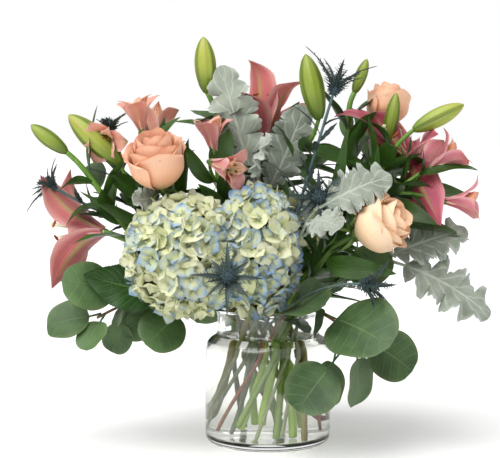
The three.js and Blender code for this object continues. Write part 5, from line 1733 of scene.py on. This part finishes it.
# For each sort: the outline, three leaves as length and width in mm and bend, and how all three are shaped.
FILLER_LEAVES = {
    "lance": ("lance", ((56, 17, 0.12), (46, 15, 0.25), (64, 15, 0.05)), dict(fold=0.2, curl=0.1, ruffle=(0.1, 1.6))),
    "silver": ("silver", ((50, 22, 0.15), (42, 20, 0.3), (36, 18, 0.1)),
               dict(lanes=9, rows=41, fold=0.1, curl=-0.12, ruffle=(0.3, 3.4), lobes=(5, 0.46))),
    "coin": ("coin", ((27, 27, 0.1), (32, 31, 0.05), (24, 25, 0.15)),
             dict(lanes=9, rows=15, fold=0.02, curl=0.12, ruffle=(0.05, 1.5))),
    "spiny": ("lance", ((36, 6, 0.1), (46, 6, 0.1), (28, 6, 0.1)), dict(rows=17, fold=0.3, teeth=(4, 0.5))),
}
leaf_finishes["spiny"] = bract_finish
filler_tree = whorl_tree("leaves_along_lines")
collections = {}
for sort, (outline, sizes, shape) in FILLER_LEAVES.items():
    shapes = [small_leaf(f"{sort}_{i}", outline, long * MM, wide * MM, bend, **shape)
              for i, (long, wide, bend) in enumerate(sizes)]
    collections[sort] = helper_collection(f"{sort}_choice", shapes)
for seed, node in enumerate(sorted(stem_lines)):
    kind = node.split("_")[0]
    if kind not in FILLERS:
        continue
    sort, low, step, least, most, least_lift, most_lift, slot = FILLERS[kind]
    base = upper_lines(node, low)
    if base is None:
        continue
    inputs = {"Members": collections[sort], "Step": step, "Least size": least, "Most size": most,
              "Least lift": least_lift, "Most lift": most_lift, "Seed": 70 + seed, "Finish": leaf_finishes[sort]}
    piece = grown_piece(node.replace("_stem", "_small_leaves"), slot, base, filler_tree, inputs)
    print(piece.name, "faces", len(piece.data.polygons))
for collection in collections.values():
    drop_collection(collection)
# %% [markdown]
# ## The table, the light and the camera
# A florist shows a bunch on a white table against white, beside a large window. Here a broad, soft sun at the front
# left is the window, and a weaker lamp behind lights the leaves' rims. The room is seen as pure white, but as a lamp
# it is dimmer, or it would wash out the shading: Light Path tells the two apart. Large lamps all round would be even,
# but flat. The camera stands a step back and looks down a little, as someone would who admires the bunch.

# %% Stage
FLOOR_REACH = 8.0
FLOOR_BELOW = -0.2 * MM
FLOOR_SIDES = 64
MIDDLE_OF_BUNCH = Vector((0, 0, 0.25))
CAMERA_AIM = Vector((-0.017, 0.0, 0.205))
CAMERA_BACK = 1.6
CAMERA_TILT = math.radians(4.84)
CAMERA_LENS = 121.0
ROOM_FILL = 0.52
SEEN_THROUGH_GLASS = 0.85
SUN = 3.5
WINDOW_ANGLE = math.radians(65)
BACK_POWER, BACK_SIZE = 10.0, 1.0

floor_mesh = bpy.data.meshes.new("table")
floor_turn = np.arange(FLOOR_SIDES) * 2 * math.pi / FLOOR_SIDES
floor_points = [(FLOOR_REACH * math.cos(a), FLOOR_REACH * math.sin(a), FLOOR_BELOW) for a in floor_turn]
floor_mesh.from_pydata(floor_points, [], [list(range(FLOOR_SIDES))])
floor = bpy.data.objects.new("table", floor_mesh)
bpy.context.scene.collection.objects.link(floor)
floor_material, t, end, _, _, place = start_material("white_table")
speck = t.ramp(t.noise(place, 3.0, 2.0, 0.5), 0.3, 0.7)
shader = t.put("ShaderNodeBsdfPrincipled", Roughness=0.6)
t.feed(shader.inputs["Base Color"], t.mix(speck, colour("f9f9f8"), colour("fbfbfa")))
t.feed(end.inputs["Surface"], shader.outputs["BSDF"])
floor_mesh.materials.append(floor_material)

world = bpy.data.worlds.new("white_room")
world.use_nodes = True
t = Tree(world.node_tree)
ray = t.put("ShaderNodeLightPath").outputs
seen = t.math("MAXIMUM", ray["Is Camera Ray"], t.math("MULTIPLY", ray["Is Transmission Ray"], SEEN_THROUGH_GLASS))
strength = t.math("ADD", ROOM_FILL, t.math("MULTIPLY", seen, 1.0 - ROOM_FILL))
t.feed(world.node_tree.nodes["Background"].inputs["Strength"], strength)
world.node_tree.nodes["Background"].inputs["Color"].default_value = (1.0, 1.0, 1.0, 1.0)
bpy.context.scene.world = world


def lamp_at(name, place, kind, power, size):
    """A lamp that shines from a place towards the middle of the bunch."""
    lamp = bpy.data.lights.new(name, kind)
    lamp.energy = power
    if kind == "SUN":
        lamp.angle = size
    else:
        lamp.shape, lamp.size = "DISK", size
    holder = bpy.data.objects.new(name, lamp)
    holder.location = place
    holder.rotation_euler = (MIDDLE_OF_BUNCH - Vector(place)).to_track_quat("-Z", "Y").to_euler()
    bpy.context.scene.collection.objects.link(holder)


lamp_at("window", (-0.9, -1.2, 2.3), "SUN", SUN, WINDOW_ANGLE)
lamp_at("back_lamp", (1.2, 1.3, 1.7), "AREA", BACK_POWER, BACK_SIZE)

camera = bpy.data.objects.new("camera", bpy.data.cameras.new("camera"))
camera.data.lens = CAMERA_LENS
camera.location = CAMERA_AIM + CAMERA_BACK * Vector((0, -math.cos(CAMERA_TILT), math.sin(CAMERA_TILT)))
camera.rotation_euler = (CAMERA_AIM - camera.location).to_track_quat("-Z", "Y").to_euler()
bpy.context.scene.collection.objects.link(camera)
bpy.context.scene.camera = camera
bpy.context.scene.view_settings.view_transform = "Standard"
